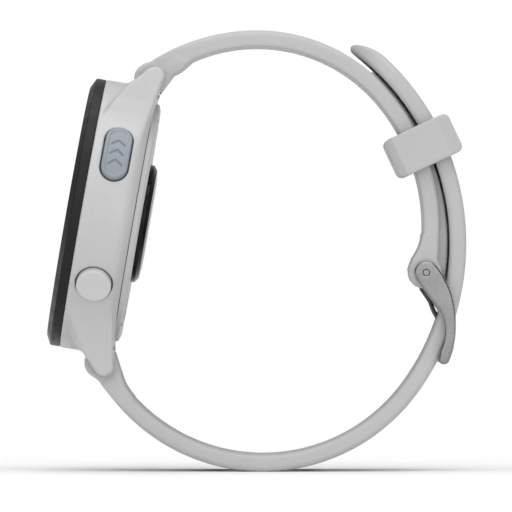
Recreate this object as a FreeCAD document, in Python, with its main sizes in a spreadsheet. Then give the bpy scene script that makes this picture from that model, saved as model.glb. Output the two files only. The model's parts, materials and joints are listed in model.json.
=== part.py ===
"""A running watch on its buckled band, standing on the band's lower edge.

The case is built in its own frame: +X to 3 o'clock, +Y to 12 o'clock, +Z out of the glass, with the
origin in the rear cover's outer plane.  The band is built in the loop's frame: +X from the case to the
buckle, +Z up, with the band's lowest line at Z = 0.  Millimetres and degrees.
"""
import FreeCAD, Part
import math
import os
import Sketcher
from FreeCAD import Placement, Rotation, Vector

SIZES = {
    # Case, from the rear cover's plane to the glass.
    "case_radius": 21.5,
    "case_front": 9.3,
    "case_rear": 1.1,
    "case_rear_radius": 19.9,
    "case_shoulder": 2.4,
    "cavity_radius": 18.4,
    "bezel_edge": 10.82,
    "glass_front": 11.6,
    "glass_inset": 0.06,
    "glass_radius": 19.4,
    "glass_back": 10.42,
    "seat_depth": 10.3,
    "spigot_radius": 18.3,
    "bezel_bore": 17.6,
    "cover_radius": 19.3,
    "window_radius": 9.5,
    "window_drop": 1.4,
    # Inside the case, as radii and as heights above the rear face.
    "front_floor": 8.5,
    "display_radius": 16.4,
    "display_rear": 9.2,
    "carrier_radius": 17.5,
    "carrier_bore": 9.0,
    "board_radius": 16.8,
    "board_rear": 6.9,
    "board_front": 7.6,
    "antenna_radius": 17.9,
    "antenna_bore": 15.7,
    "antenna_front": 8.4,
    "battery_half_x": 11.0,
    "battery_half_y": 11.8,
    "battery_rear": 2.8,
    "battery_thick": 3.6,
    "tray_rear": 2.2,
    "tray_wall": 0.3,
    "motor_radius": 2.7,
    "motor_y": -15.3,
    "beeper_radius": 2.3,
    "beeper_y": 15.6,
    "cover_inside": 1.0,
    "sensor_board_radius": 9.8,
    "sensor_board_front": 1.6,
    "led_circle": 4.6,
    "led_width": 1.6,
    "screw_radius": 0.53,
    "screw_head": 1.2,
    "screw_length": 4.2,
    "vent_y": 12.6,
    "vent_radius": 0.3,
    "vent_pitch": 0.9,
    "port_y": -13.6,
    "port_half_x": 3.25,
    "port_half_y": 1.75,
    "contact_radius": 0.32,
    "contact_pitch": 1.3,
    # How the case stands in the loop.
    "case_tilt": 9.94,
    "case_x": -18.21,
    "case_z": 39.16,
    # Lugs and spring bars.
    "band_width": 20.0,
    "lug_gap": 20.5,
    "bar_reach": 22.75,
    "bar_height": 2.47,
    "bar_radius": 0.9,
    "bar_bore": 0.62,
    "bar_half": 9.0,
    "tip_radius": 0.45,
    "tip_end": 11.2,
    "strap_end_radius": 2.45,
    "knob_place": 6.5,
    "knob_radius": 0.5,
    "knob_length": 3.0,
    "knob_turn": 51.0,
    # Buttons.
    "button_level": 5.41,
    "button_floor": 19.7,
    "button_inner": 20.4,
    "button_gap": 0.2,
    "stem_radius": 1.0,
    "stem_end": 17.5,
    "clip_radius": 1.8,
    "clip_floor": 17.8,
    "clip_thick": 0.35,
    "seal_circle": 1.39,
    "seal_radius": 0.3,
    "seal_place": 19.35,
    "run_length": 9.1,
    "run_width": 4.2,
    "round_radius": 2.75,
    "round_face": 22.4,
    "run_face": 22.0,
    # Band loop: centres and radii of its arcs, and the thickness of each half.
    "long_x": 1.13,
    "long_radius": 30.2,
    "long_thick": 2.65,
    "tail_radius": 40.09,
    "tail_turn": -35.87,
    "tail_taper": 47.5,
    "tail_end": 54.8,
    "short_x": -3.78,
    "short_z": 38.61,
    "short_radius": 30.2,
    "short_thick": 2.6,
    "rib_width": 16.4,
    "rib_gap": 0.3,
    "crown_radius": 24.95,
    "crown_turn": 40.75,
    "side_radius": 30.93,
    # Buckle.
    "pin_x": 26.87,
    "pin_z": 31.38,
    "pin_radius": 0.75,
    "pin_nose": 0.48,
    "pin_shoulder": 11.3,
    "arm_inner": 10.4,
    "arm_outer": 11.8,
    "tongue_width": 1.8,
    "hole_length": 5.4,
    "hole_width": 2.4,
    "hole_pitch": 7.0,
    "hole_angle": -19.2,
    # Keeper.
    "keeper_x": 26.42,
    "keeper_z": 51.38,
    "keeper_tilt": 25.2,
    "keeper_depth": 11.1,
    "keeper_length": 6.55,
    "keeper_width": 24.4,
    "keeper_corner": 1.2,
    "keeper_low": 29.9,
    "keeper_high": 36.6,
    # From the loop's frame to the part's frame, which has its origin under the middle of the whole.
    "shift_x": -0.07,
    "shift_y": -0.45,
    "shift_z": 0.0,
}

UP = Vector(0, 0, 1)
LEFT = 1
RIGHT = -1

doc = FreeCAD.newDocument("watch")
sheet = doc.addObject("Spreadsheet::Sheet", "dim")
for row, (alias, size) in enumerate(SIZES.items(), 1):
    sheet.set(f"B{row}", str(size))
    sheet.setAlias(f"B{row}", alias)
doc.recompute()
nodes = []


def size(alias):
    """A driving dimension."""
    return float(sheet.get(alias))


# Frames ------------------------------------------------------------------------------------------

def loop_frame():
    return Placement(Vector(size("shift_x"), size("shift_y"), size("shift_z")), Rotation())


def case_frame():
    """The case leans back by its tilt: its +X is the loop's -Y, and its glass faces the loop's -X."""
    tilt = math.radians(size("case_tilt"))
    twelve = Vector(math.sin(tilt), 0, math.cos(tilt))
    glass = Vector(-math.cos(tilt), 0, math.sin(tilt))
    turn = Rotation(Vector(0, -1, 0), twelve, glass, "XYZ")
    return loop_frame() * Placement(Vector(size("case_x"), 0, size("case_z")), turn)


def button_frame(angle):
    """+Z out of the case along a button's stem, +Y round the case, -X towards the glass."""
    return (Placement(Vector(0, 0, size("button_level")), Rotation(UP, angle))
            * Placement(Vector(), Rotation(Vector(0, 1, 0), 90)))


def bar_centre(end):
    """The spring bar's centre at 12 o'clock (+1) or 6 o'clock (-1), in the case's frame."""
    return Vector(0, end * size("bar_reach"), size("bar_height"))


def bar_frame(end):
    """+Z along the bar to 3 o'clock, +X along the knob, to the wrist and the case's middle."""
    turn = Rotation(Vector(1, 0, 0), -end * size("knob_turn"))
    return Placement(bar_centre(end), turn * Rotation(Vector(0, 1, 0), 90))


def spot(x, y, z):
    return Placement(Vector(x, y, z), Rotation())


def along_x(x, y, z):
    return Placement(Vector(x, y, z), Rotation(Vector(0, 1, 0), 90))


# Sketches and features ---------------------------------------------------------------------------

def arc_between(start, end, radius, side):
    """An arc that bulges to the left or the right of the way from start to end."""
    chord = end - start
    half = chord.Length / 2
    normal = Vector(-chord.y, chord.x, 0).normalize() * side
    rise = radius - math.sqrt(radius * radius - half * half)
    return Part.Arc(start, (start + end) * 0.5 + normal * rise, end)


def sketch_size(sketch, number):
    """The value of a number or of an expression of the sheet."""
    return float(sketch.evalExpression(number) if isinstance(number, str) else number)


def fix(sketch, kind, edge, vertex, number):
    """Hold a point's coordinate, or an arc's radius, at a number or at an expression of the sheet."""
    where = (edge, vertex) if vertex else (edge,)
    constraint = sketch.addConstraint(Sketcher.Constraint(kind, *where, sketch_size(sketch, number)))
    if isinstance(number, str):
        sketch.setExpression(f"Constraints[{constraint}]", number)


def outline(sketch, corners):
    """A closed outline.  A corner is (x, y), or (x, y, radius, side) where an arc leaves it."""
    points = [Vector(sketch_size(sketch, corner[0]), sketch_size(sketch, corner[1]), 0)
              for corner in corners]
    ends = []
    for index, corner in enumerate(corners):
        start = points[index]
        end = points[(index + 1) % len(points)]
        if len(corner) == 2:
            edge = sketch.addGeometry(Part.LineSegment(start, end))
        else:
            radius = sketch_size(sketch, corner[2])
            edge = sketch.addGeometry(arc_between(start, end, radius, corner[3]))
        first = 1 if sketch.getPoint(edge, 1).distanceToPoint(start) < 1e-6 else 2
        ends.append((edge, first, 3 - first))
    for index, corner in enumerate(corners):
        edge, first, last = ends[index]
        following, its_first, _ = ends[(index + 1) % len(ends)]
        sketch.addConstraint(Sketcher.Constraint("Coincident", edge, last, following, its_first))
        fix(sketch, "DistanceX", edge, first, corner[0])
        fix(sketch, "DistanceY", edge, first, corner[1])
        if len(corner) > 2:
            chord = points[index].distanceToPoint(points[(index + 1) % len(points)])
            half_round = abs(chord - 2 * sketch_size(sketch, corner[2])) < 1e-6
            if half_round:
                fix(sketch, "DistanceY", edge, 3, corner[1])
            else:
                fix(sketch, "Radius", edge, 0, corner[2])


def circle(sketch, x, y, radius):
    centre = Vector(sketch_size(sketch, x), sketch_size(sketch, y), 0)
    edge = sketch.addGeometry(Part.Circle(centre, UP, sketch_size(sketch, radius)))
    fix(sketch, "DistanceX", edge, 3, x)
    fix(sketch, "DistanceY", edge, 3, y)
    fix(sketch, "Radius", edge, 0, radius)


def new_body(name):
    return doc.addObject("PartDesign::Body", name)


def sketch_on(body, role, offset=None):
    """A sketch on one of the body's own origin planes, raised along its normal."""
    sketch = body.newObject("Sketcher::SketchObject", body.Name + "_sketch")
    plane = next(part for part in body.Origin.OriginFeatures if part.Role == role)
    sketch.AttachmentSupport = [(plane, "")]
    sketch.MapMode = "FlatFace"
    if isinstance(offset, str):
        sketch.setExpression("AttachmentOffset.Base.z", offset)
    elif offset:
        sketch.AttachmentOffset = spot(0, 0, offset)
    return sketch


def pad(body, sketch, length, symmetric=False):
    feature = body.newObject("PartDesign::Pad", body.Name + "_pad")
    feature.Profile = sketch
    if symmetric:
        feature.SideType = "Symmetric"
    if isinstance(length, str):
        feature.setExpression("Length", length)
    else:
        feature.Length = length
    return feature


def turned(name, corners):
    """A piece turned about the case's axis, from its half section in (radius, height)."""
    body = new_body(name)
    sketch = sketch_on(body, "XZ_Plane")
    outline(sketch, corners)
    feature = body.newObject("PartDesign::Revolution", name + "_turn")
    feature.Profile = sketch
    feature.ReferenceAxis = (sketch, ["V_Axis"])
    feature.Angle = 360
    return body


def ring(name, inner, outer, low, high):
    return turned(name, [(inner, low), (outer, low), (outer, high), (inner, high)])


def slab(name, corners, low, thick):
    """A flat piece drawn in the case's plane."""
    body = new_body(name)
    sketch = sketch_on(body, "XY_Plane", low)
    outline(sketch, corners)
    pad(body, sketch, thick)
    return body


def side_pad(name, corners, width, role="XZ_Plane"):
    """A piece drawn from the side and padded equally both ways."""
    body = new_body(name)
    sketch = sketch_on(body, role)
    outline(sketch, corners)
    pad(body, sketch, width, symmetric=True)
    return body


def rectangle(half_x, half_y, corner, x=0.0, y=0.0):
    """A rectangle with rounded corners."""
    right, top = x + half_x, y + half_y
    left, low = x - half_x, y - half_y
    return [(left + corner, low), (right - corner, low, corner, RIGHT), (right, low + corner),
            (right, top - corner, corner, RIGHT), (right - corner, top),
            (left + corner, top, corner, RIGHT), (left, top - corner),
            (left, low + corner, corner, RIGHT)]


def cylinder(name, radius, height, place):
    piece = doc.addObject("Part::Cylinder", name)
    for key, number in (("Radius", radius), ("Height", height)):
        if isinstance(number, str):
            piece.setExpression(key, number)
        else:
            setattr(piece, key, number)
    piece.Placement = place
    return piece


def block(name, sizes, place):
    """A box centred on its place."""
    piece = doc.addObject("Part::Box", name)
    lengths = []
    for key, number in zip(("Length", "Width", "Height"), sizes):
        if isinstance(number, str):
            piece.setExpression(key, number)
            lengths.append(float(piece.evalExpression(number)))
        else:
            setattr(piece, key, number)
            lengths.append(number)
    piece.Placement = place * spot(-lengths[0] / 2, -lengths[1] / 2, -lengths[2] / 2)
    return piece


def torus(name, major, minor, place):
    piece = doc.addObject("Part::Torus", name)
    piece.Radius1 = major
    piece.Radius2 = minor
    piece.Placement = place
    return piece


def cut(name, base, tools):
    piece = doc.addObject("Part::Cut", name)
    piece.Base = base
    piece.Tool = tools[0] if len(tools) == 1 else fuse(name + "_tools", tools)
    return piece


def fuse(name, parts):
    piece = doc.addObject("Part::MultiFuse", name)
    piece.Shapes = parts
    return piece


def common(name, parts):
    piece = doc.addObject("Part::MultiCommon", name)
    piece.Shapes = parts
    return piece


def group(name, parts):
    piece = doc.addObject("Part::Compound", name)
    piece.Links = parts
    return piece


def node(label, piece, frame):
    """Give a finished sub-part its label and its place in the part's frame."""
    piece.Label = label
    piece.Placement = frame * piece.Placement
    nodes.append(piece)


# Case --------------------------------------------------------------------------------------------

BUTTONS = {"run": 28.3, "back": -29.8, "light": 149.5, "up": 180.0, "down": 210.5}
BOSS_ANGLES = (62, 118, 242, 298)
BOSS_CIRCLE = 17.2
BOSS_RADIUS = 1.5
BOSS_TOP = 6.0


def boss_place(angle, height):
    turn = math.radians(angle)
    return spot(BOSS_CIRCLE * math.cos(turn), BOSS_CIRCLE * math.sin(turn), height)


def stadium(length, width):
    """A slot's outline, long in Y."""
    half, radius = length / 2 - width / 2, width / 2
    return [(radius, -half), (radius, half, radius, RIGHT), (-radius, half),
            (-radius, -half, radius, RIGHT)]


def lug_pair(end):
    """The two lugs at one end: a blade seen from the side, narrowed to its tip seen from the front."""
    side = [(end * 12.0, 8.95), (end * 14.7, 8.7), (end * 16.7, 8.2), (end * 18.4, 7.4),
            (end * 20.0, 6.45), (end * 21.5, 5.45), (end * 22.8, 4.15), (end * 24.3, 2.85),
            (end * 24.7, 2.0, 1.6, LEFT * end), (end * 23.35, 0.3), (end * 21.6, 0.45),
            (end * 19.3, 0.9), (end * 12.0, 2.1)]
    name = "upper" if end > 0 else "lower"
    blade = side_pad(f"{name}_lug_side", side, 40.0, role="YZ_Plane")
    plan = [(-17.2, end * 11.5), (17.2, end * 11.5), (15.2, end * 15.2), (13.9, end * 19.0),
            (13.2, end * 23.0), (12.7, end * 25.2), (-12.7, end * 25.2), (-13.2, end * 23.0),
            (-13.9, end * 19.0), (-15.2, end * 15.2)]
    return common(f"{name}_lugs", [blade, slab(f"{name}_lug_plan", plan, -1.0, 12.0)])


def make_housing():
    shell = turned("case_shell", [("dim.cavity_radius", "dim.case_rear"),
                                  ("dim.case_rear_radius", "dim.case_rear"),
                                  ("dim.case_radius", "dim.case_shoulder"),
                                  ("dim.case_radius", "dim.case_front - 0.4"),
                                  ("dim.case_radius - 0.3", "dim.case_front"),
                                  ("dim.cavity_radius", "dim.case_front")])
    lugs = [lug_pair(+1), lug_pair(-1)]
    cavity = cylinder("cavity", "dim.cavity_radius", 14.0, spot(0, 0, -2.0))
    bosses = [cylinder(f"boss_{angle}", BOSS_RADIUS, BOSS_TOP - 1.9, boss_place(angle, 1.9))
              for angle in BOSS_ANGLES]
    hollow = cut("case_hollow", fuse("case_outside", [shell] + lugs), [cavity])
    solid = fuse("case_solid", [hollow] + bosses)
    tools = [cylinder(f"boss_hole_{angle}", 0.55, BOSS_TOP, boss_place(angle, 0.0))
             for angle in BOSS_ANGLES]
    tools.append(cylinder("cover_seat", "dim.cover_radius + 0.1", "dim.case_rear + 2", spot(0, 0, -2.0)))
    for end in (+1, -1):
        centre = bar_centre(end)
        gap = size("lug_gap")
        tools.append(cylinder(f"strap_relief_{end + 1}", "dim.strap_end_radius + 0.35", "dim.lug_gap",
                              along_x(-gap / 2, centre.y, centre.z)))
        tools.append(block(f"strap_gap_{end + 1}", ("dim.lug_gap", 6.0, 16.0),
                           spot(0, end * (size("bar_reach") + 2.9), 4.0)))
        tools.append(block(f"strap_slot_{end + 1}", ("dim.lug_gap", 4.6, 5.0),
                           spot(0, end * (size("bar_reach") - 0.5), -0.2)))
        tools.append(cylinder(f"lug_bore_{end + 1}", "dim.tip_radius + 0.05", "2 * dim.tip_end + 0.2",
                              along_x(-size("tip_end") - 0.1, centre.y, centre.z)))
    for name, angle in BUTTONS.items():
        frame = button_frame(angle)
        gap = size("button_gap")
        if name == "run":
            pocket = new_body("run_pocket")
            sketch = sketch_on(pocket, "XY_Plane", "dim.button_floor")
            outline(sketch, stadium(size("run_length") + 2 * gap, size("run_width") + 2 * gap))
            pad(pocket, sketch, 5.0)
            pocket.Placement = frame
        else:
            pocket = cylinder(f"{name}_pocket", "dim.round_radius + dim.button_gap", 5.0,
                              frame * spot(0, 0, size("button_floor")))
        tools.append(pocket)
        tools.append(cylinder(f"{name}_bore", "dim.stem_radius + 0.08", 5.0, frame * spot(0, 0, 16.0)))
        tools.append(cylinder(f"{name}_seal_seat", 1.7, 0.8, frame * spot(0, 0, 19.0)))
    node("case_housing", cut("housing", solid, tools), case_frame())


def make_front():
    bezel = turned("bezel", [("dim.bezel_bore", "dim.front_floor"), ("dim.spigot_radius", "dim.front_floor"),
                             ("dim.spigot_radius", "dim.case_front"),
                             ("dim.case_radius", "dim.case_front"), ("dim.case_radius", "dim.bezel_edge"),
                             ("dim.case_radius - 1.6", "dim.glass_front"),
                             ("dim.glass_radius + 0.05", "dim.glass_front"),
                             ("dim.glass_radius + 0.05", "dim.seat_depth"),
                             ("dim.bezel_bore", "dim.seat_depth")])
    lens = turned("lens", [(0, "dim.glass_back"), ("dim.glass_radius", "dim.glass_back"),
                           ("dim.glass_radius", "dim.glass_front - 0.25"),
                           ("dim.glass_radius - 0.2", "dim.glass_front - dim.glass_inset"),
                           (0, "dim.glass_front - dim.glass_inset")])
    seal = ring("lens_seal", "dim.bezel_bore + 0.2", "dim.glass_radius - 0.1", "dim.seat_depth",
                "dim.glass_back")
    panel = turned("display_panel", [(0, "dim.display_rear"), ("dim.display_radius", "dim.display_rear"),
                                     ("dim.display_radius", "dim.glass_back"), (0, "dim.glass_back")])
    lip = "dim.display_radius + 0.2"
    carrier = turned("display_carrier", [("dim.carrier_bore", "dim.front_floor"),
                                         ("dim.carrier_radius", "dim.front_floor"),
                                         ("dim.carrier_radius", "dim.display_rear + 0.6"),
                                         (lip, "dim.display_rear + 0.6"), (lip, "dim.display_rear"),
                                         ("dim.carrier_bore", "dim.display_rear")])
    bend = size("display_rear") - 0.15
    foot = size("board_front") + 0.4
    flex = side_pad("display_flex", [(0.0, "dim.display_rear"), (0.0, bend), (5.85, bend), (5.85, foot),
                                     (2.0, foot), (2.0, "dim.board_front"), (6.0, "dim.board_front"),
                                     (6.0, "dim.display_rear")], 8.0, role="YZ_Plane")
    for name, piece in (("bezel", bezel), ("lens", lens), ("lens_seal", seal),
                        ("display_panel", panel), ("display_carrier", carrier), ("display_flex", flex)):
        node(name, piece, case_frame())


# Each chip's middle, length, width and height on the main board.
CHIPS = {
    "processor": (-8.6, 7.0, 5.2, 5.2, 0.7),
    "memory": (-9.4, -1.0, 4.0, 3.2, 0.7),
    "radio": (-4.2, 10.6, 3.0, 3.0, 0.6),
    "motion": (10.0, 8.2, 2.4, 1.8, 0.6),
    "power": (7.6, 10.6, 3.2, 2.4, 0.6),
}


def make_electronics():
    front = size("board_front")
    board = turned("main_board", [(0, "dim.board_rear"), ("dim.board_radius", "dim.board_rear"),
                                  ("dim.board_radius", "dim.board_front"), (0, "dim.board_front")])
    antenna = ring("gps_antenna", "dim.antenna_bore", "dim.antenna_radius", "dim.board_front",
                   "dim.antenna_front")
    chips = group("chips", [block(f"chip_{name}", (long, wide, high), spot(x, y, front + high / 2))
                            for name, (x, y, long, wide, high) in CHIPS.items()])
    can = slab("shield_can", rectangle(6.0, 4.6, 0.6, 3.0, -7.2), front, 0.8)
    half_x, half_y, rear = size("battery_half_x"), size("battery_half_y"), size("battery_rear")
    wall = size("tray_wall")
    battery = slab("battery", rectangle(half_x, half_y, 1.0), rear, size("battery_thick"))
    tray_base = slab("tray_base", rectangle(half_x + 0.05 + wall, half_y + 0.05 + wall, 1.0 + wall),
                     size("tray_rear"), 1.9)
    tray_hollow = slab("tray_hollow", rectangle(half_x + 0.05, half_y + 0.05, 1.05), rear, 4.0)
    tray = cut("tray", tray_base, [tray_hollow])
    motor = cylinder("motor", "dim.motor_radius", 2.6, spot(0, size("motor_y"), 2.4))
    beeper = cylinder("beeper_disc", "dim.beeper_radius", 1.1, spot(0, size("beeper_y"), 1.9))
    switches = group("switches", [
        block(f"switch_{name}", (2.4, 4.2, 2.3),
              button_frame(angle) * spot(-0.03, 0, 15.7)) for name, angle in BUTTONS.items()])
    for name, piece in (("main_board", board), ("gps_antenna", antenna), ("board_chips", chips),
                        ("shield_can", can), ("battery", battery), ("battery_tray", tray),
                        ("vibration_motor", motor), ("beeper", beeper),
                        ("button_switches", switches)):
        node(name, piece, case_frame())


def make_rear():
    blank = turned("cover_blank", [("dim.window_radius - 0.6", 0), ("dim.cover_radius - 1.2", 0),
                                   ("dim.cover_radius - 0.35", 0.3),
                                   ("dim.cover_radius", "dim.cover_inside"),
                                   ("dim.cavity_radius - 0.2", "dim.cover_inside"),
                                   ("dim.cavity_radius - 0.2", "dim.cover_inside + 0.8"),
                                   ("dim.cavity_radius - 1.2", "dim.cover_inside + 0.8"),
                                   ("dim.cavity_radius - 1.2", "dim.cover_inside"),
                                   ("dim.window_radius - 0.6", "dim.cover_inside")])
    inside = size("cover_inside")
    tools = []
    screws = []
    for angle in BOSS_ANGLES:
        tools.append(cylinder(f"cover_hole_{angle}", 0.75, 2.0, boss_place(angle, -0.5)))
        tools.append(cylinder(f"cover_sink_{angle}", 1.35, 0.55, boss_place(angle, 0.0)))
        tools.append(cylinder(f"cover_relief_{angle}", 1.9, 1.0, boss_place(angle, inside)))
        head = cylinder(f"screw_head_{angle}", "dim.screw_head", 0.5, boss_place(angle, 0.05))
        shank = cylinder(f"screw_shank_{angle}", "dim.screw_radius", "dim.screw_length",
                         boss_place(angle, 0.5))
        recess = cylinder(f"screw_drive_{angle}", 0.5, 0.35, boss_place(angle, 0.0))
        screws.append(cut(f"screw_{angle}", fuse(f"screw_body_{angle}", [head, shank]), [recess]))
    port_y, half_x, half_y = size("port_y"), size("port_half_x"), size("port_half_y")
    tools.append(slab("port_hole", rectangle(half_x + 0.05, half_y + 0.05, 0.8, 0.0, port_y), -0.5, 3.0))
    for index in (-1, 0, 1):
        place = spot(index * size("vent_pitch"), size("vent_y"), -0.5)
        tools.append(cylinder(f"vent_{index + 1}", "dim.vent_radius", 2.0, place))
    cover = cut("cover", blank, tools)
    gasket = ring("rear_gasket", "dim.cavity_radius + 0.05", "dim.cover_radius - 0.3", "dim.cover_inside",
                  "dim.case_rear")
    window = turned("sensor_window", [(0, "-dim.window_drop"), (7.2, "-dim.window_drop"),
                                      (8.7, -1.15), (9.4, -0.6), ("dim.window_radius", 0),
                                      (8.85, 0), (8.85, 0.95), (8.1, 0.95), (8.1, -0.5), (0, -0.5)])
    board = turned("heart_rate_board", [(0, "dim.cover_inside"),
                                        ("dim.sensor_board_radius", "dim.cover_inside"),
                                        ("dim.sensor_board_radius", "dim.sensor_board_front"),
                                        (0, "dim.sensor_board_front")])
    circle_radius, wide, high = size("led_circle"), size("led_width"), 0.7
    lights = [block("led_mid", (2.2, 2.2, high), spot(0, 0, inside - high / 2))]
    for index in range(6):
        turn = math.radians(60 * index)
        place = spot(circle_radius * math.cos(turn), circle_radius * math.sin(turn), inside - high / 2)
        lights.append(block(f"led_{index}", (wide, wide, high), place))
    leds = group("leds", lights)
    low, top = size("sensor_board_front"), size("board_rear")
    flex = side_pad("sensor_flex", [(8.0, low), (13.0, low), (13.0, top), (12.85, top),
                                    (12.85, low + 0.15), (8.0, low + 0.15)], 5.0, role="YZ_Plane")
    vent = cylinder("vent", 1.6, 0.15, spot(0, size("vent_y"), inside))
    port_blank = slab("port_blank", rectangle(half_x, half_y, 0.75, 0.0, port_y), 0.7, 1.3)
    pin_holes = []
    pins = []
    for index in range(4):
        x = (index - 1.5) * size("contact_pitch")
        pin_holes.append(cylinder(f"contact_hole_{index}", "dim.contact_radius", 3.0, spot(x, port_y, 0.0)))
        pins.append(cylinder(f"contact_{index}", "dim.contact_radius", 2.0, spot(x, port_y, 0.35)))
    for name, piece in (("rear_cover", cover), ("rear_gasket", gasket), ("sensor_window", window),
                        ("heart_rate_board", board), ("sensor_leds", leds), ("sensor_flex", flex),
                        ("vent_membrane", vent), ("rear_screws", group("screws", screws)),
                        ("charge_port", cut("port", port_blank, pin_holes)),
                        ("charge_contacts", group("contacts", pins))):
        node(name, piece, case_frame())


# Buttons -----------------------------------------------------------------------------------------

def make_button(name, angle):
    """A cap on a stem through the case wall, held by a clip inside."""
    blank = new_body(f"{name}_cap_blank")
    sketch = sketch_on(blank, "XY_Plane", "dim.button_inner")
    if name == "run":
        outline(sketch, stadium(size("run_length"), size("run_width")))
        face = "dim.run_face"
    else:
        circle(sketch, 0, 0, "dim.round_radius")
        face = "dim.round_face"
    pad(blank, sketch, 4.0)
    drum = cylinder(f"{name}_face", face, 12.0, Placement(Vector(-6, 0, 0), Rotation(Vector(0, 1, 0), 90)))
    cap = common(f"{name}_cap", [blank, drum])
    stem = cylinder(f"{name}_stem", "dim.stem_radius", "dim.button_inner - dim.stem_end + 0.5",
                    spot(0, 0, size("stem_end")))
    frame = case_frame() * button_frame(angle)
    node(f"{name}_button", fuse(f"{name}_piece", [cap, stem]), frame)
    floor = size("clip_floor")
    disc = cylinder(f"{name}_clip_disc", "dim.clip_radius", "dim.clip_thick", spot(0, 0, floor))
    bore = cylinder(f"{name}_clip_bore", "dim.stem_radius", 1.0, spot(0, 0, floor - 0.3))
    node(f"{name}_clip", cut(f"{name}_ring", disc, [bore]), frame)


def make_seals():
    seals = [torus(f"seal_{name}", size("seal_circle"), size("seal_radius"),
                   button_frame(angle) * spot(0, 0, size("seal_place")))
             for name, angle in BUTTONS.items()]
    node("button_seals", group("seals", seals), case_frame())


# Spring bars -------------------------------------------------------------------------------------

SLIDE_TRAVEL = 1.3
SPRING_TURNS = 9


def make_spring_bar(name, end):
    """A tube with a fixed tip at 9 o'clock and a sliding tip with a knob at 3 o'clock."""
    frame = case_frame() * bar_frame(end)
    half = size("bar_half")
    knob = size("knob_place")
    outside = cylinder(f"{name}_outside", "dim.bar_radius", "2 * dim.bar_half", spot(0, 0, -half))
    bore = cylinder(f"{name}_bore", "dim.bar_bore", "2 * dim.bar_half + 1", spot(0, 0, -half - 0.5))
    slot = block(f"{name}_slot", (1.6, 1.2, 1.2 + SLIDE_TRAVEL), spot(0.8, 0, knob - SLIDE_TRAVEL / 2))
    node(f"{name}_bar_tube", cut(f"{name}_tube", outside, [bore, slot]), frame)
    fixed = fuse(f"{name}_fixed", [
        cylinder(f"{name}_plug", "dim.bar_bore", 3.0, spot(0, 0, -half)),
        cylinder(f"{name}_point", "dim.tip_radius", "dim.tip_end - dim.bar_half",
                 spot(0, 0, -size("tip_end")))])
    node(f"{name}_bar_tip", fixed, frame)
    slide = fuse(f"{name}_slide", [
        cylinder(f"{name}_rod", "dim.bar_bore - 0.04", 4.2, spot(0, 0, half - 4.4)),
        cylinder(f"{name}_nose", "dim.tip_radius", "dim.tip_end - dim.bar_half + 0.4",
                 spot(0, 0, half - 0.4)),
        cylinder(f"{name}_knob", "dim.knob_radius", "dim.knob_length", along_x(0, 0, knob))])
    node(f"{name}_bar_pin", slide, frame)
    helix = doc.addObject("Part::Helix", f"{name}_helix")
    length = half - 4.4 - (-half + 3.0)
    helix.Radius = 0.4
    helix.Height = length - 0.3
    helix.Pitch = helix.Height.Value / SPRING_TURNS
    wire = doc.addObject("Part::Circle", f"{name}_wire")
    wire.Radius = 0.1
    wire.Placement = Placement(Vector(0.4, 0, 0), Rotation(Vector(1, 0, 0), 90))
    coil = doc.addObject("Part::Sweep", f"{name}_coil")
    coil.Sections = [wire]
    coil.Spine = (helix, [])
    coil.Solid = True
    coil.Frenet = True
    node(f"{name}_bar_spring", coil, frame * spot(0, 0, -half + 3.0 + 0.15))


# Band --------------------------------------------------------------------------------------------

def on(centre, radius, angle):
    """Expressions for a point on a circle: centre is a pair of expressions."""
    return (f"{centre[0]} + ({radius}) * cos({angle})", f"{centre[1]} + ({radius}) * sin({angle})")


SHORT = ("dim.short_x", "dim.short_z")
CROWN = ("(dim.short_x + (dim.short_radius - dim.crown_radius) * cos(dim.crown_turn))",
         "(dim.short_z + (dim.short_radius - dim.crown_radius) * sin(dim.crown_turn))")
CROWN_TOP = f"{CROWN[1]} + dim.crown_radius + dim.short_thick"
SIDE = (CROWN[0], f"({CROWN_TOP} - dim.side_radius)")
LONG = ("dim.long_x", "dim.long_radius")
TAIL = ("(dim.long_x - (dim.tail_radius - dim.long_radius) * cos(dim.tail_turn))",
        "(dim.long_radius - (dim.tail_radius - dim.long_radius) * sin(dim.tail_turn))")


def point(pair):
    """The place that a pair of expressions stands for, in the loop's plane."""
    return Vector(float(doc.getObject("probe").evalExpression(pair[0])), 0,
                  float(doc.getObject("probe").evalExpression(pair[1])))


def bar_in_loop(end):
    return case_in_loop().multVec(bar_centre(end))


def case_in_loop():
    return loop_frame().inverse() * case_frame()


def across(place, name, radius, width):
    """A cylinder through the loop's plane, centred on it."""
    half = width / 2
    turn = Rotation(Vector(1, 0, 0), 90)
    return cylinder(name, radius, width, Placement(Vector(place.x, half, place.z), turn))


def knob_slot(name, end):
    """The opening in a strap's end through which the spring bar's knob is reached."""
    place = case_in_loop() * bar_frame(end)
    return block(name, (4.4, 1.7, 3.4), place * spot(2.2, 0, size("knob_place") - SLIDE_TRAVEL / 2))


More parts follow.
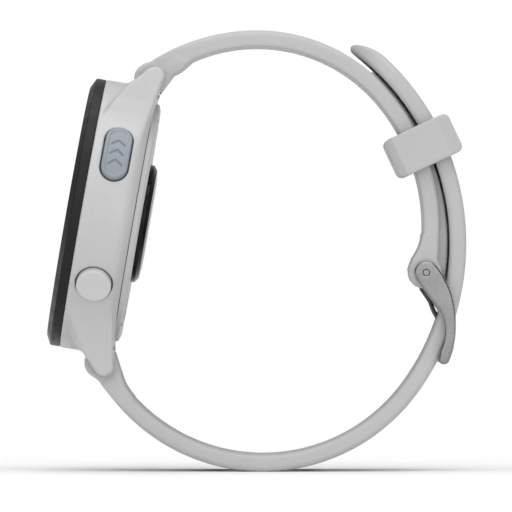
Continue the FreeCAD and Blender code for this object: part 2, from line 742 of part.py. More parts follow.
def make_short_strap():
    """The half with the buckle, with a low rib on its outer face that the tail lies on."""
    thick = "dim.short_thick"
    band = [on(SIDE, "dim.side_radius", "127"),
            on(CROWN, f"dim.crown_radius + {thick}", "90"),
            on(CROWN, f"dim.crown_radius + {thick}", "dim.crown_turn"),
            on(SHORT, f"dim.short_radius + {thick}", "-13.2"),
            on(SHORT, "dim.short_radius", "-13.2"),
            on(CROWN, "dim.crown_radius", "dim.crown_turn"),
            on(CROWN, "dim.crown_radius", "131")]
    radii = [("dim.side_radius", LEFT), (f"dim.crown_radius + {thick}", LEFT),
             (f"dim.short_radius + {thick}", LEFT), None, ("dim.short_radius", RIGHT),
             ("dim.crown_radius", RIGHT), None]
    corners = [pair + radius if radius else pair for pair, radius in zip(band, radii)]
    rib_top = "dim.tail_radius - dim.long_thick - dim.rib_gap"
    sunk = f"{thick} - 0.4"
    rib = [on(TAIL, rib_top, "-7") + (rib_top, RIGHT), on(TAIL, rib_top, "47"),
           on(CROWN, f"dim.crown_radius + {sunk}", "51") + (f"dim.crown_radius + {sunk}", LEFT),
           on(CROWN, f"dim.crown_radius + {sunk}", "dim.crown_turn") + (f"dim.short_radius + {sunk}", LEFT),
           on(SHORT, f"dim.short_radius + {sunk}", "-12.5")]
    width = size("band_width")
    upper = bar_in_loop(+1)
    pin = Vector(size("pin_x"), 0, size("pin_z"))
    solid = fuse("short_solid", [
        side_pad("short_band", corners, "dim.band_width"),
        side_pad("short_rib", rib, "dim.rib_width"),
        side_pad("short_root", [(-10.4, 64.68, 5.0, LEFT), (-12.9, 62.7), (-15.25, 59.65),
                                (-16.75, 59.9), (-16.75, 61.9), (-12.5, 65.2)], "dim.band_width"),
        side_pad("short_flare", [(26.33, 37.4), (28.0, 37.4), (27.0, 31.4), (24.35, 31.9),
                                 (24.75, 33.6, 9.0, RIGHT)], "dim.band_width"),
        across(upper, "short_end", "dim.strap_end_radius", width),
        across(pin + Vector(-0.1, 0, 0.0), "short_bulge", 2.55, width)])
    bore = across(upper, "short_bore", "dim.bar_radius + 0.02", width + 2)
    pin_hole = across(pin, "short_pin_hole", "dim.pin_radius + 0.05", width + 2)
    tongue_room = block("short_tongue_room", (7.5, 2.6, 6.6), spot(pin.x + 0.2, 0, pin.z - 1.2))
    node("short_strap", cut("short", solid, [bore, pin_hole, tongue_room, knob_slot("short_slot", +1)]),
         loop_frame())


def hole_tool(name, place, angle):
    """A slot through the strap at a place, with its length along the strap."""
    body = new_body(name)
    sketch = sketch_on(body, "XY_Plane", -3.0)
    outline(sketch, stadium(size("hole_length"), size("hole_width")))
    pad(body, sketch, 6.0)
    radial = Vector(math.cos(angle), 0, math.sin(angle))
    along = Vector(-math.sin(angle), 0, math.cos(angle))
    body.Placement = Placement(place, Rotation(Vector(0, 1, 0), along, radial, "ZYX"))
    return body


def strap_holes():
    """Slots at even pitch along the strap, up the tail and down round the loop's lower right."""
    tail, lower = point(TAIL), point(LONG)
    tail_middle = size("tail_radius") - size("long_thick") / 2
    lower_middle = size("long_radius") - size("long_thick") / 2
    turn = math.radians(size("tail_turn"))
    first = math.radians(size("hole_angle"))
    tools = []
    for index in range(-6, 7):
        angle = first + index * size("hole_pitch") / tail_middle
        centre, radius = tail, tail_middle
        if angle < turn:
            angle = turn + (angle - turn) * tail_middle / lower_middle
            centre, radius = lower, lower_middle
        place = centre + Vector(math.cos(angle), 0, math.sin(angle)) * radius
        tools.append(hole_tool(f"hole_{index + 7}", place, angle))
    return tools


def make_long_strap():
    """The half with the holes, from the lower spring bar under the loop and up to its tail."""
    inner = "dim.long_radius - dim.long_thick"
    tail_inner = "dim.tail_radius - dim.long_thick"
    band = [on(LONG, "dim.long_radius", "213"),
            on(LONG, "dim.long_radius", "dim.tail_turn"),
            on(TAIL, "dim.tail_radius", "dim.tail_taper"),
            on(TAIL, "dim.tail_radius - 1.75", "dim.tail_end + 0.9"),
            on(TAIL, "dim.tail_radius - 2.45", "dim.tail_end + 0.8"),
            on(TAIL, tail_inner, "dim.tail_end"),
            on(TAIL, tail_inner, "dim.tail_turn"),
            on(LONG, inner, "206")]
    radii = [("dim.long_radius", RIGHT), ("dim.tail_radius", RIGHT), (16.0, RIGHT), None, None,
             (tail_inner, LEFT), (inner, LEFT), None]
    corners = [pair + radius if radius else pair for pair, radius in zip(band, radii)]
    width = size("band_width")
    lower = bar_in_loop(-1)
    root = [(-19.5, 11.8), (-18.98, 8.35), (-21.76, 11.25), (-25.24, 14.75), (-26.5, 16.4),
            (-25.4, 18.6), (-23.6, 19.2), (-22.3, 18.7), (-21.0, 14.7, 9.0, RIGHT)]
    solid = fuse("long_solid", [side_pad("long_band", corners, "dim.band_width"),
                                side_pad("long_root", root, "dim.band_width"),
                                across(lower, "long_end", "dim.strap_end_radius", width)])
    bore = across(lower, "long_bore", "dim.bar_radius + 0.02", width + 2)
    taper = math.radians(size("tail_end") - 14.5)
    place = point(TAIL) + Vector(math.cos(taper), 0, math.sin(taper)) * size("tail_radius")
    along = Vector(-math.sin(taper), 0, math.cos(taper))
    radial = Vector(math.cos(taper), 0, math.sin(taper))
    frame = Placement(place, Rotation(Vector(0, 1, 0), along, radial, "ZYX"))
    corner = cut("tail_corner", block("tail_block", (24.0, 14.0, 12.0), frame * spot(0, 7.0, 0)),
                 [cylinder("tail_round", 10.4, 14.0, frame * spot(0, 0, -7.0))])
    node("long_strap", cut("long", solid, [bore, corner, knob_slot("long_slot", -1)] + strap_holes()),
         loop_frame())


def make_keeper():
    """A loose loop round both layers, bored concentric with the short strap so that it slides."""
    centre = Vector(size("short_x"), 0, size("short_z"))
    turn = Rotation(Vector(0, 1, 0), -size("keeper_tilt"))
    body = new_body("keeper_blank")
    sketch = sketch_on(body, "XZ_Plane")
    half_depth, half_length = size("keeper_depth") / 2, size("keeper_length") / 2
    outline(sketch, rectangle(half_depth, half_length, size("keeper_corner")))
    pad(body, sketch, "dim.keeper_width", symmetric=True)
    body.Placement = Placement(Vector(size("keeper_x"), 0, size("keeper_z")), turn)
    width = size("band_width") + 0.6
    room = cut("keeper_room", across(centre, "keeper_outside", "dim.keeper_high", width),
               [across(centre, "keeper_inside", "dim.keeper_low", width + 2)])
    node("keeper_loop", cut("keeper", body, [room]), loop_frame())


# Buckle ------------------------------------------------------------------------------------------

def arm_outline():
    """One side arm, from round the pin down to the crossbar."""
    return [(25.02, 31.0, 1.88, LEFT), (28.35, 32.53), (29.39, 31.13), (30.38, 29.16, 15.3, LEFT),
            (31.5, 22.9, 13.0, LEFT), (30.28, 17.46, 0.82, LEFT), (28.77, 17.62),
            (29.1, 19.22, 6.6, RIGHT), (28.77, 25.7), (27.43, 27.3), (26.05, 29.22)]


def make_buckle():
    width = 2 * size("arm_outer")
    inner = 2 * size("arm_inner")
    arms = cut("arms", side_pad("arm_pair", arm_outline(), width),
               [block("arm_gap", (30.0, inner, 60.0), spot(30.0, 0, 20.0))])
    bar = side_pad("crossbar_blank", [(31.5, 19.35), (31.62, 18.6, 2.2, LEFT), (30.3, 16.95),
                                      (29.15, 17.4), (30.0, 19.35, 0.95, LEFT)], inner)
    tail = point(TAIL)
    notch = cut("notch", across(tail, "notch_outside", "dim.tail_radius + 4", 2.3),
                [across(tail, "notch_inside", "dim.tail_radius + 0.9", 4.0)])
    pin = Vector(size("pin_x"), 0, size("pin_z"))
    shoulder = 2 * size("pin_shoulder")
    holes = [across(pin, "arm_holes", "dim.pin_radius + 0.05", shoulder + 0.1),
             across(pin, "nose_holes", "dim.pin_nose + 0.05", width + 2)]
    frame = fuse("frame_blank", [arms, cut("crossbar", bar, [notch])])
    node("buckle_frame", cut("frame", frame, holes), loop_frame())
    rod = fuse("pin_piece", [across(pin, "pin_rod", "dim.pin_radius", shoulder),
                             across(pin, "pin_noses", "dim.pin_nose", width - 0.04)])
    node("buckle_pin", rod, loop_frame())


def make_tongue():
    """A bent strip that wraps the pin, passes out through a hole and rests on the crossbar."""
    strip = [(25.5, 30.6), (26.0, 28.6), (27.3, 26.7), (27.9, 25.1), (30.15, 21.25), (30.87, 19.5),
             (29.75, 16.75), (30.6, 16.45), (31.75, 19.6), (31.05, 21.75), (28.75, 25.5),
             (28.1, 27.15), (27.15, 28.8), (28.1, 30.8)]
    blade = side_pad("tongue_blade", strip, "dim.tongue_width")
    pin = Vector(size("pin_x"), 0, size("pin_z"))
    eye = across(pin, "tongue_eye", 1.55, size("tongue_width"))
    hole = across(pin, "tongue_hole", "dim.pin_radius + 0.05", 6.0)
    node("buckle_tongue", cut("tongue", fuse("tongue_solid", [blade, eye]), [hole]), loop_frame())


# The whole ---------------------------------------------------------------------------------------

doc.addObject("Part::Box", "probe")
make_housing()
make_front()
make_electronics()
make_rear()
for button_name, button_angle in BUTTONS.items():
    make_button(button_name, button_angle)
make_seals()
make_spring_bar("upper", +1)
make_spring_bar("lower", -1)
make_short_strap()
make_long_strap()
make_keeper()
make_buckle()
make_tongue()
doc.recompute()

for piece in doc.Objects:
    if "Invalid" in piece.State or "Error" in piece.State:
        raise RuntimeError(f"{piece.Label} did not recompute: {piece.State}")
os.makedirs("parts", exist_ok=True)
for piece in nodes:
    if piece.Shape.isNull() or not piece.Shape.isValid() or not piece.Shape.Solids:
        raise RuntimeError(f"{piece.Label} has no valid solid")
    piece.Shape.exportStep(f"parts/{piece.Label}.step")
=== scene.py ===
"""Looks for the running watch on its buckled band.

The band is described in the loop's frame (+X from the case to the buckle, +Z up, the band's lowest line
at Z = 0) and the case in its own (+X to 3 o'clock, +Y to 12 o'clock, +Z out of the glass), both in
millimetres.  Each shaped piece is the zero surface of a distance field, meshed as quads.
"""
import bmesh
import bpy
import json
import math
import numpy as np
from mathutils import Matrix, Vector


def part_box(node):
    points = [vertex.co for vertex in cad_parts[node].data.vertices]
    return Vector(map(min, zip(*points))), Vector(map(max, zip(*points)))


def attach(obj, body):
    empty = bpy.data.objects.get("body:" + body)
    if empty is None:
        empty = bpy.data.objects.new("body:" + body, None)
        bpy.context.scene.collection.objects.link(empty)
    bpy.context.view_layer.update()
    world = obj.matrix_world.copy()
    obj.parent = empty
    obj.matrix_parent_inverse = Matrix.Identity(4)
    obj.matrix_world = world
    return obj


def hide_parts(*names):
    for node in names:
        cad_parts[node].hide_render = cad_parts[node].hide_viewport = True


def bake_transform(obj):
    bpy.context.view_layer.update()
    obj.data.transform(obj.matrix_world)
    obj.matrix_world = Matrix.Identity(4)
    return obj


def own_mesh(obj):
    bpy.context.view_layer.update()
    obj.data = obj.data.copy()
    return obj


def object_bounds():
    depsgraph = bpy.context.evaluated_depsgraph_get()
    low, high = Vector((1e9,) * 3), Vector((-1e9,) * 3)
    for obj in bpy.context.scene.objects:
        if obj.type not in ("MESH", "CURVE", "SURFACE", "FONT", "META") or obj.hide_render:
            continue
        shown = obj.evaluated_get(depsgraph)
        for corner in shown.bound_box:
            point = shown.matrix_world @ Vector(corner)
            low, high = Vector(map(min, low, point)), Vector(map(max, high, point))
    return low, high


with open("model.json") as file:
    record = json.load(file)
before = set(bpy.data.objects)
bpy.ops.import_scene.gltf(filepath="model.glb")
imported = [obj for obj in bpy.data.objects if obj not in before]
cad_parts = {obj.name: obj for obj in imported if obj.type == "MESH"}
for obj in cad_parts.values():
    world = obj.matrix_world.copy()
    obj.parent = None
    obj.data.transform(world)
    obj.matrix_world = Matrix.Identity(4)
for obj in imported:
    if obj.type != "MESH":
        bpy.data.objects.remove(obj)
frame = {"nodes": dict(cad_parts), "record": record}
cad_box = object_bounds()
MM = 0.001

# Named sizes, in millimetres and degrees ---------------------------------------------------------

# Where the buckle pin, the case and the spring bars are, and the pins' own sizes.
PIN = (26.87, 31.38)
CASE_MIDDLE = (-18.21, 39.16)
CASE_TILT = 9.94
BAR_REACH, BAR_HEIGHT = 22.75, 2.47
BAND_HALF = 10.0
BAR_LOOP, BAR_BORE = 2.45, 0.92
PIN_NOSE, PIN_SHOULDER, PIN_BODY, PIN_BORE, PIN_END = 0.48, 11.3, 0.75, 0.8, 11.8

# The long half: the arc under the loop, the tail's arc tangent to it, and the row of holes.
LONG_CENTRE, LONG_RADIUS, LONG_THICK = (1.13, 30.2), 30.2, 2.65
TAIL_RADIUS, TAIL_TURN, TAIL_END = 40.09, math.radians(-35.87), math.radians(54.8)
TAIL_CENTRE = (LONG_CENTRE[0] - (TAIL_RADIUS - LONG_RADIUS) * math.cos(TAIL_TURN),
               LONG_CENTRE[1] - (TAIL_RADIUS - LONG_RADIUS) * math.sin(TAIL_TURN))
HOLE_ANGLE, HOLE_PITCH, HOLE_LENGTH, HOLE_WIDTH, HOLES_EACH_WAY = math.radians(-19.2), 7.0, 5.4, 2.4, 6

# The short half: three tangent arcs, and the planes that end them.
SHORT_CENTRE, SHORT_RADIUS, SHORT_THICK = (-3.78, 38.61), 30.2, 2.6
CROWN_RADIUS, CROWN_TURN, SIDE_RADIUS = 24.95, math.radians(40.75), 30.93
CROWN_CENTRE = (SHORT_CENTRE[0] + (SHORT_RADIUS - CROWN_RADIUS) * math.cos(CROWN_TURN),
                SHORT_CENTRE[1] + (SHORT_RADIUS - CROWN_RADIUS) * math.sin(CROWN_TURN))
SIDE_CENTRE = (CROWN_CENTRE[0], CROWN_CENTRE[1] + CROWN_RADIUS + SHORT_THICK - SIDE_RADIUS)
SHORT_START, SHORT_START_WAY = (-18.41, 63.36), (0.743, 0.669)
SHORT_END, SHORT_END_SLOPE = (28.0, 31.4), 0.24
PIN_BULGE, TONGUE_ROOM = 2.55, (3.75, 1.3, 3.3)

# The tail's tip, the rounding that grows away from the ends, and the room for a spring bar's knob.
TIP_ROUND, TIP_THINNING, TIP_TAPER = 10.15, 1.5, 5.2
ROOT_ROUND, ROUND_GROWTH, ROUND_GROWS, LONG_LOWER = 0.3, 0.6, (4.0, 12.0), 56.0
KNOB_LEAN, KNOB_PLACE, KNOB_ROOM = math.radians(51.0), 5.85, (2.2, 0.85, 1.7)

# The rib between the layers, and the keeper round them.
RIB_HALF, RIB_GAP, RIB_SINK, RIB_TURNS = 8.2, 0.3, 0.4, (math.radians(-9), math.radians(47))
KEEPER_CENTRE, KEEPER_TILT = (26.42, 51.38), math.radians(25.2)
KEEPER_HALF = (5.55, 12.2, 3.275)
KEEPER_ROOM, KEEPER_ROOM_HALF = (29.9, 36.6), 10.3
KEEPER_ROUND, KEEPER_FACETS = 1.2, (2.1, 1.4)

# The case: its shell and tapered rear edge, lugs, straps' mouths, bar tips' bores and screw bosses.
CASE_RADIUS, CASE_REAR, CASE_FRONT = 21.5, 1.1, 9.3
CAVITY_RADIUS, COVER_SEAT = 18.4, 19.27
TAPER_RISE, TAPER_RUN, TAPER_FROM = 0.776, 0.631, 2.4
LUG_STATIONS, LUG_HALF_WIDTHS = (11.5, 15.2, 19.0, 23.0, 25.2), (17.2, 15.2, 13.9, 13.2, 12.7)
LUG_START, LUG_LEAN = 12.5, 0.93
STRAP_ROOM, LOOP_ROOM, ROOM_START, NOTCH_START, NOTCH_TOP = 10.25, 2.8, 22.65, 19.95, 2.3
TIP_BORE, TIP_REACH = 0.5, 11.3
BOSS_ANGLES, BOSS_CIRCLE, BOSS_RADIUS, BOSS_BORE = (62, 118, 242, 298), 17.2, 1.5, 0.6
BOSS_LEVEL, BOSS_HALF = 3.95, 2.05

# Buttons: each one's place round the case in degrees, then their caps, stems and marks.
BUTTONS = {"run": 28.3, "back": -29.8, "light": 149.5, "up": 180.0, "down": 210.5}
BUTTON_LEVEL, BUTTON_INNER, BUTTON_GAP, BUTTON_POCKET = 5.41, 20.4, 0.2, 19.7
STEM_RADIUS, STEM_END, STEM_BORE, STEM_BORE_START = 1.0, 17.5, 1.15, 15.0
RUN_LENGTH, RUN_WIDTH, RUN_FACE, RUN_RIM, RUN_SINK = 9.1, 4.2, 22.0, 0.6, 0.1
ROUND_RADIUS, ROUND_FACE, DISH_RADIUS, DISH_DEPTH = 2.75, 22.4, 13.0, 0.25
CHEVRON_PITCH, CHEVRON_REACH, CHEVRON_HALF, CHEVRON_MIDDLE = 1.75, 1.15, 0.2, 0.55
CHEVRON_TOP, CHEVRON_FLOOR = 0.07, 0.4
BOX_CIRCLE, RUN_BOX, ROUND_BOX, BOX_HALF_HEIGHT = 20.0, 6.2, 3.4, 3.1

# Meshing: a factor on every mesh step, and a turned profile's points this near the axis are welded.
COARSE = 1.0
AXIS = 0.001


# Frames ------------------------------------------------------------------------------------------

def shift():
    """Where the loop's origin lies in the row frame, from the buckle pin's own box."""
    low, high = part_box("buckle_pin")
    middle = (low + high) / 2
    return Vector((middle.x - PIN[0] * MM, middle.y, middle.z - PIN[1] * MM))


def loop_matrix():
    return Matrix.Translation(shift()) @ Matrix.Scale(MM, 4)


def case_in_loop():
    tilt = math.radians(CASE_TILT)
    three = Vector((0, -1, 0))
    twelve = Vector((math.sin(tilt), 0, math.cos(tilt)))
    glass = Vector((-math.cos(tilt), 0, math.sin(tilt)))
    turn = Matrix((three, twelve, glass)).transposed().to_4x4()
    return Matrix.Translation((CASE_MIDDLE[0], 0, CASE_MIDDLE[1])) @ turn


def case_matrix():
    return loop_matrix() @ case_in_loop()


def bar_in_loop(end):
    """The spring bar's centre in the loop's plane, at 12 o'clock (+1) or 6 o'clock (-1)."""
    place = case_in_loop() @ Vector((0, end * BAR_REACH, BAR_HEIGHT))
    return place.x, place.z


# Distance fields ---------------------------------------------------------------------------------

def hypot(a, b):
    return np.sqrt(a * a + b * b)


def over(a):
    return np.maximum(a, 0)


def both(a, b, radius=0.0):
    """Where two fields overlap, with the edge between them rounded."""
    return np.minimum(np.maximum(a, b), -radius) + hypot(over(a + radius), over(b + radius))


def either(a, b, radius=0.0):
    """Two fields joined, with a fillet between them."""
    return -both(-a, -b, radius)


def soft_both(a, b, blend):
    """Where two fields overlap, with the crease between them slightly eased."""
    ease = over(blend - np.abs(a - b)) / blend
    return np.maximum(a, b) + ease * ease * blend / 4


def smooth_step(low, high, value):
    t = np.clip((value - low) / (high - low), 0, 1)
    return t * t * (3 - 2 * t)


def arc_points(start, end, radius, side, pieces=10):
    """Points from start towards end on an arc that bulges left (+1) or right (-1) of the way."""
    start, end = np.array(start, float), np.array(end, float)
    chord = end - start
    half = np.linalg.norm(chord) / 2
    normal = np.array((-chord[1], chord[0])) / (2 * half) * side
    centre = (start + end) / 2 - normal * math.sqrt(max(radius * radius - half * half, 0))
    first = math.atan2(*(start - centre)[::-1])
    turn = (math.atan2(*(end - centre)[::-1]) - first + math.pi) % (2 * math.pi) - math.pi
    return [centre + radius * np.array((math.cos(first + turn * i / pieces),
                                        math.sin(first + turn * i / pieces)))
            for i in range(pieces)]


def outline(corners):
    """A closed outline.  A corner is (x, z), or (x, z, radius, side) where an arc leaves it."""
    points = []
    for corner, following in zip(corners, corners[1:] + corners[:1]):
        if len(corner) == 2:
            points.append(np.array(corner, float))
        else:
            points.extend(arc_points(corner[:2], following[:2], corner[2], corner[3]))
    return np.array(points)


def flat_field(u, v, points):
    """Signed distance to a closed outline."""
    nearest = np.full(u.shape, 1e9)
    inside = np.zeros(u.shape, bool)
    for (au, av), (bu, bv) in zip(points, np.roll(points, -1, axis=0)):
        du, dv = bu - au, bv - av
        pu, pv = u - au, v - av
        t = np.clip((pu * du + pv * dv) / (du * du + dv * dv + 1e-12), 0, 1)
        nearest = np.minimum(nearest, (pu - t * du) ** 2 + (pv - t * dv) ** 2)
        crosses = (av > v) != (bv > v)
        inside ^= crosses & (pu < du * pv / (dv if abs(dv) > 1e-12 else 1e-12))
    return np.where(inside, -1, 1) * np.sqrt(nearest)


def box_field(parts, halves, radius=0.0):
    """A box with rounded edges, from its three centred coordinates."""
    q = [np.abs(part) - half + radius for part, half in zip(parts, halves)]
    outside = np.sqrt(sum(over(part) ** 2 for part in q))
    return outside + np.minimum(np.maximum.reduce(q), 0) - radius


# Meshes ------------------------------------------------------------------------------------------

BLOCK = 8
CORNERS = [(i, j, k) for i in (0, 1) for j in (0, 1) for k in (0, 1)]
EDGES = [(a, b) for a in range(8) for b in range(a + 1, 8)
         if sum(p != q for p, q in zip(CORNERS[a], CORNERS[b])) == 1]


def field_on_grid(field, low, step, blocks):
    """The field at every grid point near its surface, and its sign elsewhere."""
    middle = [low[a] + (np.arange(blocks[a]) * BLOCK + (BLOCK - 1) / 2) * step for a in range(3)]
    coarse = field(*[c.ravel() for c in np.meshgrid(*middle, indexing="ij")])
    near = np.abs(coarse) < BLOCK * step * 1.15
    grid = np.sign(coarse).reshape(blocks) * BLOCK * step
    for axis in range(3):
        grid = np.repeat(grid, BLOCK, axis=axis)
    starts = np.stack(np.unravel_index(np.flatnonzero(near), blocks), axis=1) * BLOCK
    local = np.stack(np.meshgrid(*[np.arange(BLOCK)] * 3, indexing="ij"), axis=-1).reshape(-1, 3)
    spots = (starts[:, None, :] + local[None, :, :]).reshape(-1, 3)
    places = np.array(low) + spots * step
    grid[spots[:, 0], spots[:, 1], spots[:, 2]] = field(places[:, 0], places[:, 1], places[:, 2])
    return grid


def settle(field, points, step):
    """Move points onto the surface, along the field's slope."""
    start = points.copy()
    reach = step * 0.2
    for _ in range(3):
        here = field(*points.T)
        slope = np.stack([field(*(points + d).T) - field(*(points - d).T)
                          for d in np.eye(3) * reach], axis=1) / (2 * reach)
        square = np.maximum((slope ** 2).sum(axis=1), 0.25)
        points = points - slope * (here / square)[:, None]
        points = start + np.clip(points - start, -step * 0.6, step * 0.6)
    return points


def skin(field, low, high, step):
    """The zero surface of a field as points and quads."""
    step = step * COARSE
    low = [value - 2.37 * step for value in low]
    blocks = tuple(int(math.ceil((h + 2.37 * step - l) / step / BLOCK)) for l, h in zip(low, high))
    grid = field_on_grid(field, low, step, blocks)
    solid = grid < 0
    cells = tuple(n - 1 for n in grid.shape)
    count = np.zeros(cells, np.uint8)
    for i, j, k in CORNERS:
        count += solid[i:i + cells[0], j:j + cells[1], k:k + cells[2]]
    active = np.flatnonzero((count > 0) & (count < 8))
    place = np.stack(np.unravel_index(active, cells), axis=1)
    values = [grid[place[:, 0] + i, place[:, 1] + j, place[:, 2] + k] for i, j, k in CORNERS]
    total = np.zeros((len(active), 3))
    hits = np.zeros(len(active))
    for a, b in EDGES:
        crossed = (values[a] < 0) != (values[b] < 0)
        way = np.where(crossed, values[a] / np.where(crossed, values[a] - values[b], 1), 0)
        spot = np.array(CORNERS[a]) + way[:, None] * (np.array(CORNERS[b]) - np.array(CORNERS[a]))
        total += spot * crossed[:, None]
        hits += crossed
    points = np.array(low) + (place + total / hits[:, None]) * step
    number = np.full(cells, -1, np.int32)
    number.ravel()[active] = np.arange(len(active))
    quads = []
    for axis in range(3):
        second, third = (axis + 1) % 3, (axis + 2) % 3
        ahead = [slice(None)] * 3
        behind = [slice(None)] * 3
        ahead[axis], behind[axis] = slice(1, None), slice(None, -1)
        changed = solid[tuple(ahead)] != solid[tuple(behind)]
        for other in (second, third):
            edge = [slice(None)] * 3
            edge[other] = 0
            changed[tuple(edge)] = False
            edge[other] = changed.shape[other] - 1
            changed[tuple(edge)] = False
        at = np.stack(np.nonzero(changed), axis=1)
        outward = solid[at[:, 0], at[:, 1], at[:, 2]]
        ring = []
        for back_second, back_third in ((1, 1), (0, 1), (0, 0), (1, 0)):
            cell = at.copy()
            cell[:, second] -= back_second
            cell[:, third] -= back_third
            ring.append(number[cell[:, 0], cell[:, 1], cell[:, 2]])
        ring = np.stack(ring, axis=1)
        quads.append(np.where(outward[:, None], ring, ring[:, ::-1]))
    return settle(field, points, step), np.concatenate(quads)


def new_mesh(name, points, quads, place):
    """A smooth-shaded object from points in millimetres and four-cornered faces."""
    mesh = bpy.data.meshes.new(name)
    turn = np.array(place)
    world = points @ turn[:3, :3].T + turn[:3, 3]
    mesh.vertices.add(len(world))
    mesh.vertices.foreach_set("co", world.astype(np.float32).ravel())
    mesh.loops.add(quads.size)
    mesh.loops.foreach_set("vertex_index", quads.astype(np.int32).ravel())
    mesh.polygons.add(len(quads))
    mesh.polygons.foreach_set("loop_start", np.arange(0, quads.size, 4, dtype=np.int32))
    mesh.polygons.foreach_set("use_smooth", np.ones(len(quads), bool))
    mesh.update(calc_edges=True)
    mesh.validate()
    piece = bpy.data.objects.new(name, mesh)
    bpy.context.scene.collection.objects.link(piece)
    return piece


def welded(piece, reach):
    """The piece with the points that all but touch made one."""
    mesh = bmesh.new()
    mesh.from_mesh(piece.data)
    bmesh.ops.remove_doubles(mesh, verts=mesh.verts, dist=reach)
    mesh.to_mesh(piece.data)
    mesh.free()
    return piece


def shaped(name, field, low, high, step, place):
    return new_mesh(name, *skin(field, low, high, step), place)


def turned(name, profile, place, around=192):
    """A piece turned about +Z from a closed (radius, height) profile with eased corners."""
    profile = np.array(profile, float)
    angle = np.arange(around) * 2 * math.pi / around
    points = np.stack([np.outer(profile[:, 0], np.cos(angle)), np.outer(profile[:, 0], np.sin(angle)),
                       np.outer(profile[:, 1], np.ones(around))], axis=-1).reshape(-1, 3)
    rows = len(profile)
    i, j = np.meshgrid(np.arange(rows), np.arange(around), indexing="ij")
    following, beside = (i + 1) % rows, (j + 1) % around
    quads = np.stack([i * around + j, i * around + beside, following * around + beside,
                      following * around + j], axis=-1).reshape(-1, 4)
    return welded(new_mesh(name, points, quads, place), 3e-6)


def eased(corners, radius, pieces=4):
    """A closed profile with each corner rounded, and a point each side that keeps the flats flat."""
    corners = [np.array(c[:2], float) for c in corners]
    points = []
    for index, corner in enumerate(corners):
        into = corners[index - 1] - corner
        out = corners[(index + 1) % len(corners)] - corner
        reach = min(radius, np.linalg.norm(into) / 2.6, np.linalg.norm(out) / 2.6)
        into, out = into / np.linalg.norm(into) * reach, out / np.linalg.norm(out) * reach
        points.append(corner + into * 1.2)
        for t in np.linspace(0, 1, pieces + 1):
            points.append(corner + into * (1 - t) ** 2 + out * t * t)
        points.append(corner + out * 1.2)
    return points


# Materials ---------------------------------------------------------------------------------------

class Nodes:
    """A short way to write a material's nodes."""

    def __init__(self, name):
        self.material = bpy.data.materials.new(name)
        self.material.use_nodes = True
        self.tree = self.material.node_tree
        self.shader = self.tree.nodes["Principled BSDF"]
        self.object = self.add("ShaderNodeTexCoord").outputs["Object"]

    def add(self, kind, **settings):
        made = self.tree.nodes.new(kind)
        for key, value in settings.items():
            setattr(made, key, value)
        return made

    def join(self, source, target):
        self.tree.links.new(source, target)

    def stretched(self, scale):
        """Object coordinates scaled by different amounts along X, Y and Z."""
        mapping = self.add("ShaderNodeMapping")
        self.join(self.object, mapping.inputs["Vector"])
        mapping.inputs["Scale"].default_value = scale
        return mapping.outputs["Vector"]

    def noise(self, scale, detail=2.0, vector=None, roughness=0.5):
        made = self.add("ShaderNodeTexNoise")
        made.inputs["Scale"].default_value = scale
        made.inputs["Detail"].default_value = detail
        made.inputs["Roughness"].default_value = roughness
        self.join(vector or self.object, made.inputs["Vector"])
        return made.outputs["Fac"]

    def ranged(self, source, low, high, to_low, to_high):
        made = self.add("ShaderNodeMapRange")
        made.inputs["From Min"].default_value = low
        made.inputs["From Max"].default_value = high
        made.inputs["To Min"].default_value = to_low
        made.inputs["To Max"].default_value = to_high
        self.join(source, made.inputs["Value"])
        return made.outputs["Result"]

    def product(self, first, second):
        """Two amounts multiplied; the second is a number or another node's output."""
        made = self.add("ShaderNodeMath", operation="MULTIPLY")
        self.join(first, made.inputs[0])
        if isinstance(second, bpy.types.NodeSocket):
            self.join(second, made.inputs[1])
        else:
            made.inputs[1].default_value = second
        return made.outputs[0]

    def mixed(self, amount, first, second):
        """Between two colours; each is a colour or another node's output."""
        made = self.add("ShaderNodeMix", data_type="RGBA")
        self.join(amount, made.inputs["Factor"])
        for socket, value in (("A", first), ("B", second)):
            target = next(i for i in made.inputs if i.name == socket and i.type == "RGBA")
            if isinstance(value, bpy.types.NodeSocket):
                self.join(value, target)
            else:
                target.default_value = (*value, 1.0)
        return next(o for o in made.outputs if o.type == "RGBA")

    def bump(self, height, depth, normal=None, strength=1.0):
        made = self.add("ShaderNodeBump")
        made.inputs["Strength"].default_value = strength
        made.inputs["Distance"].default_value = depth
        self.join(height, made.inputs["Height"])
        if normal:
            self.join(normal, made.inputs["Normal"])
        return made.outputs["Normal"]

    def edges(self, low=0.53, high=0.6):
        """How much a point stands out from its surroundings, for wear along edges."""
        geometry = self.add("ShaderNodeNewGeometry")
        return self.ranged(geometry.outputs["Pointiness"], low, high, 0.0, 1.0)


def srgb(*levels):
    """Linear colour from display levels of 0 to 255."""
    return tuple((v / 255 / 12.92) if v <= 10 else ((v / 255 + 0.055) / 1.055) ** 2.4 for v in levels)


def shade(colour, factor):
    return tuple(min(value * factor, 1.0) for value in colour)


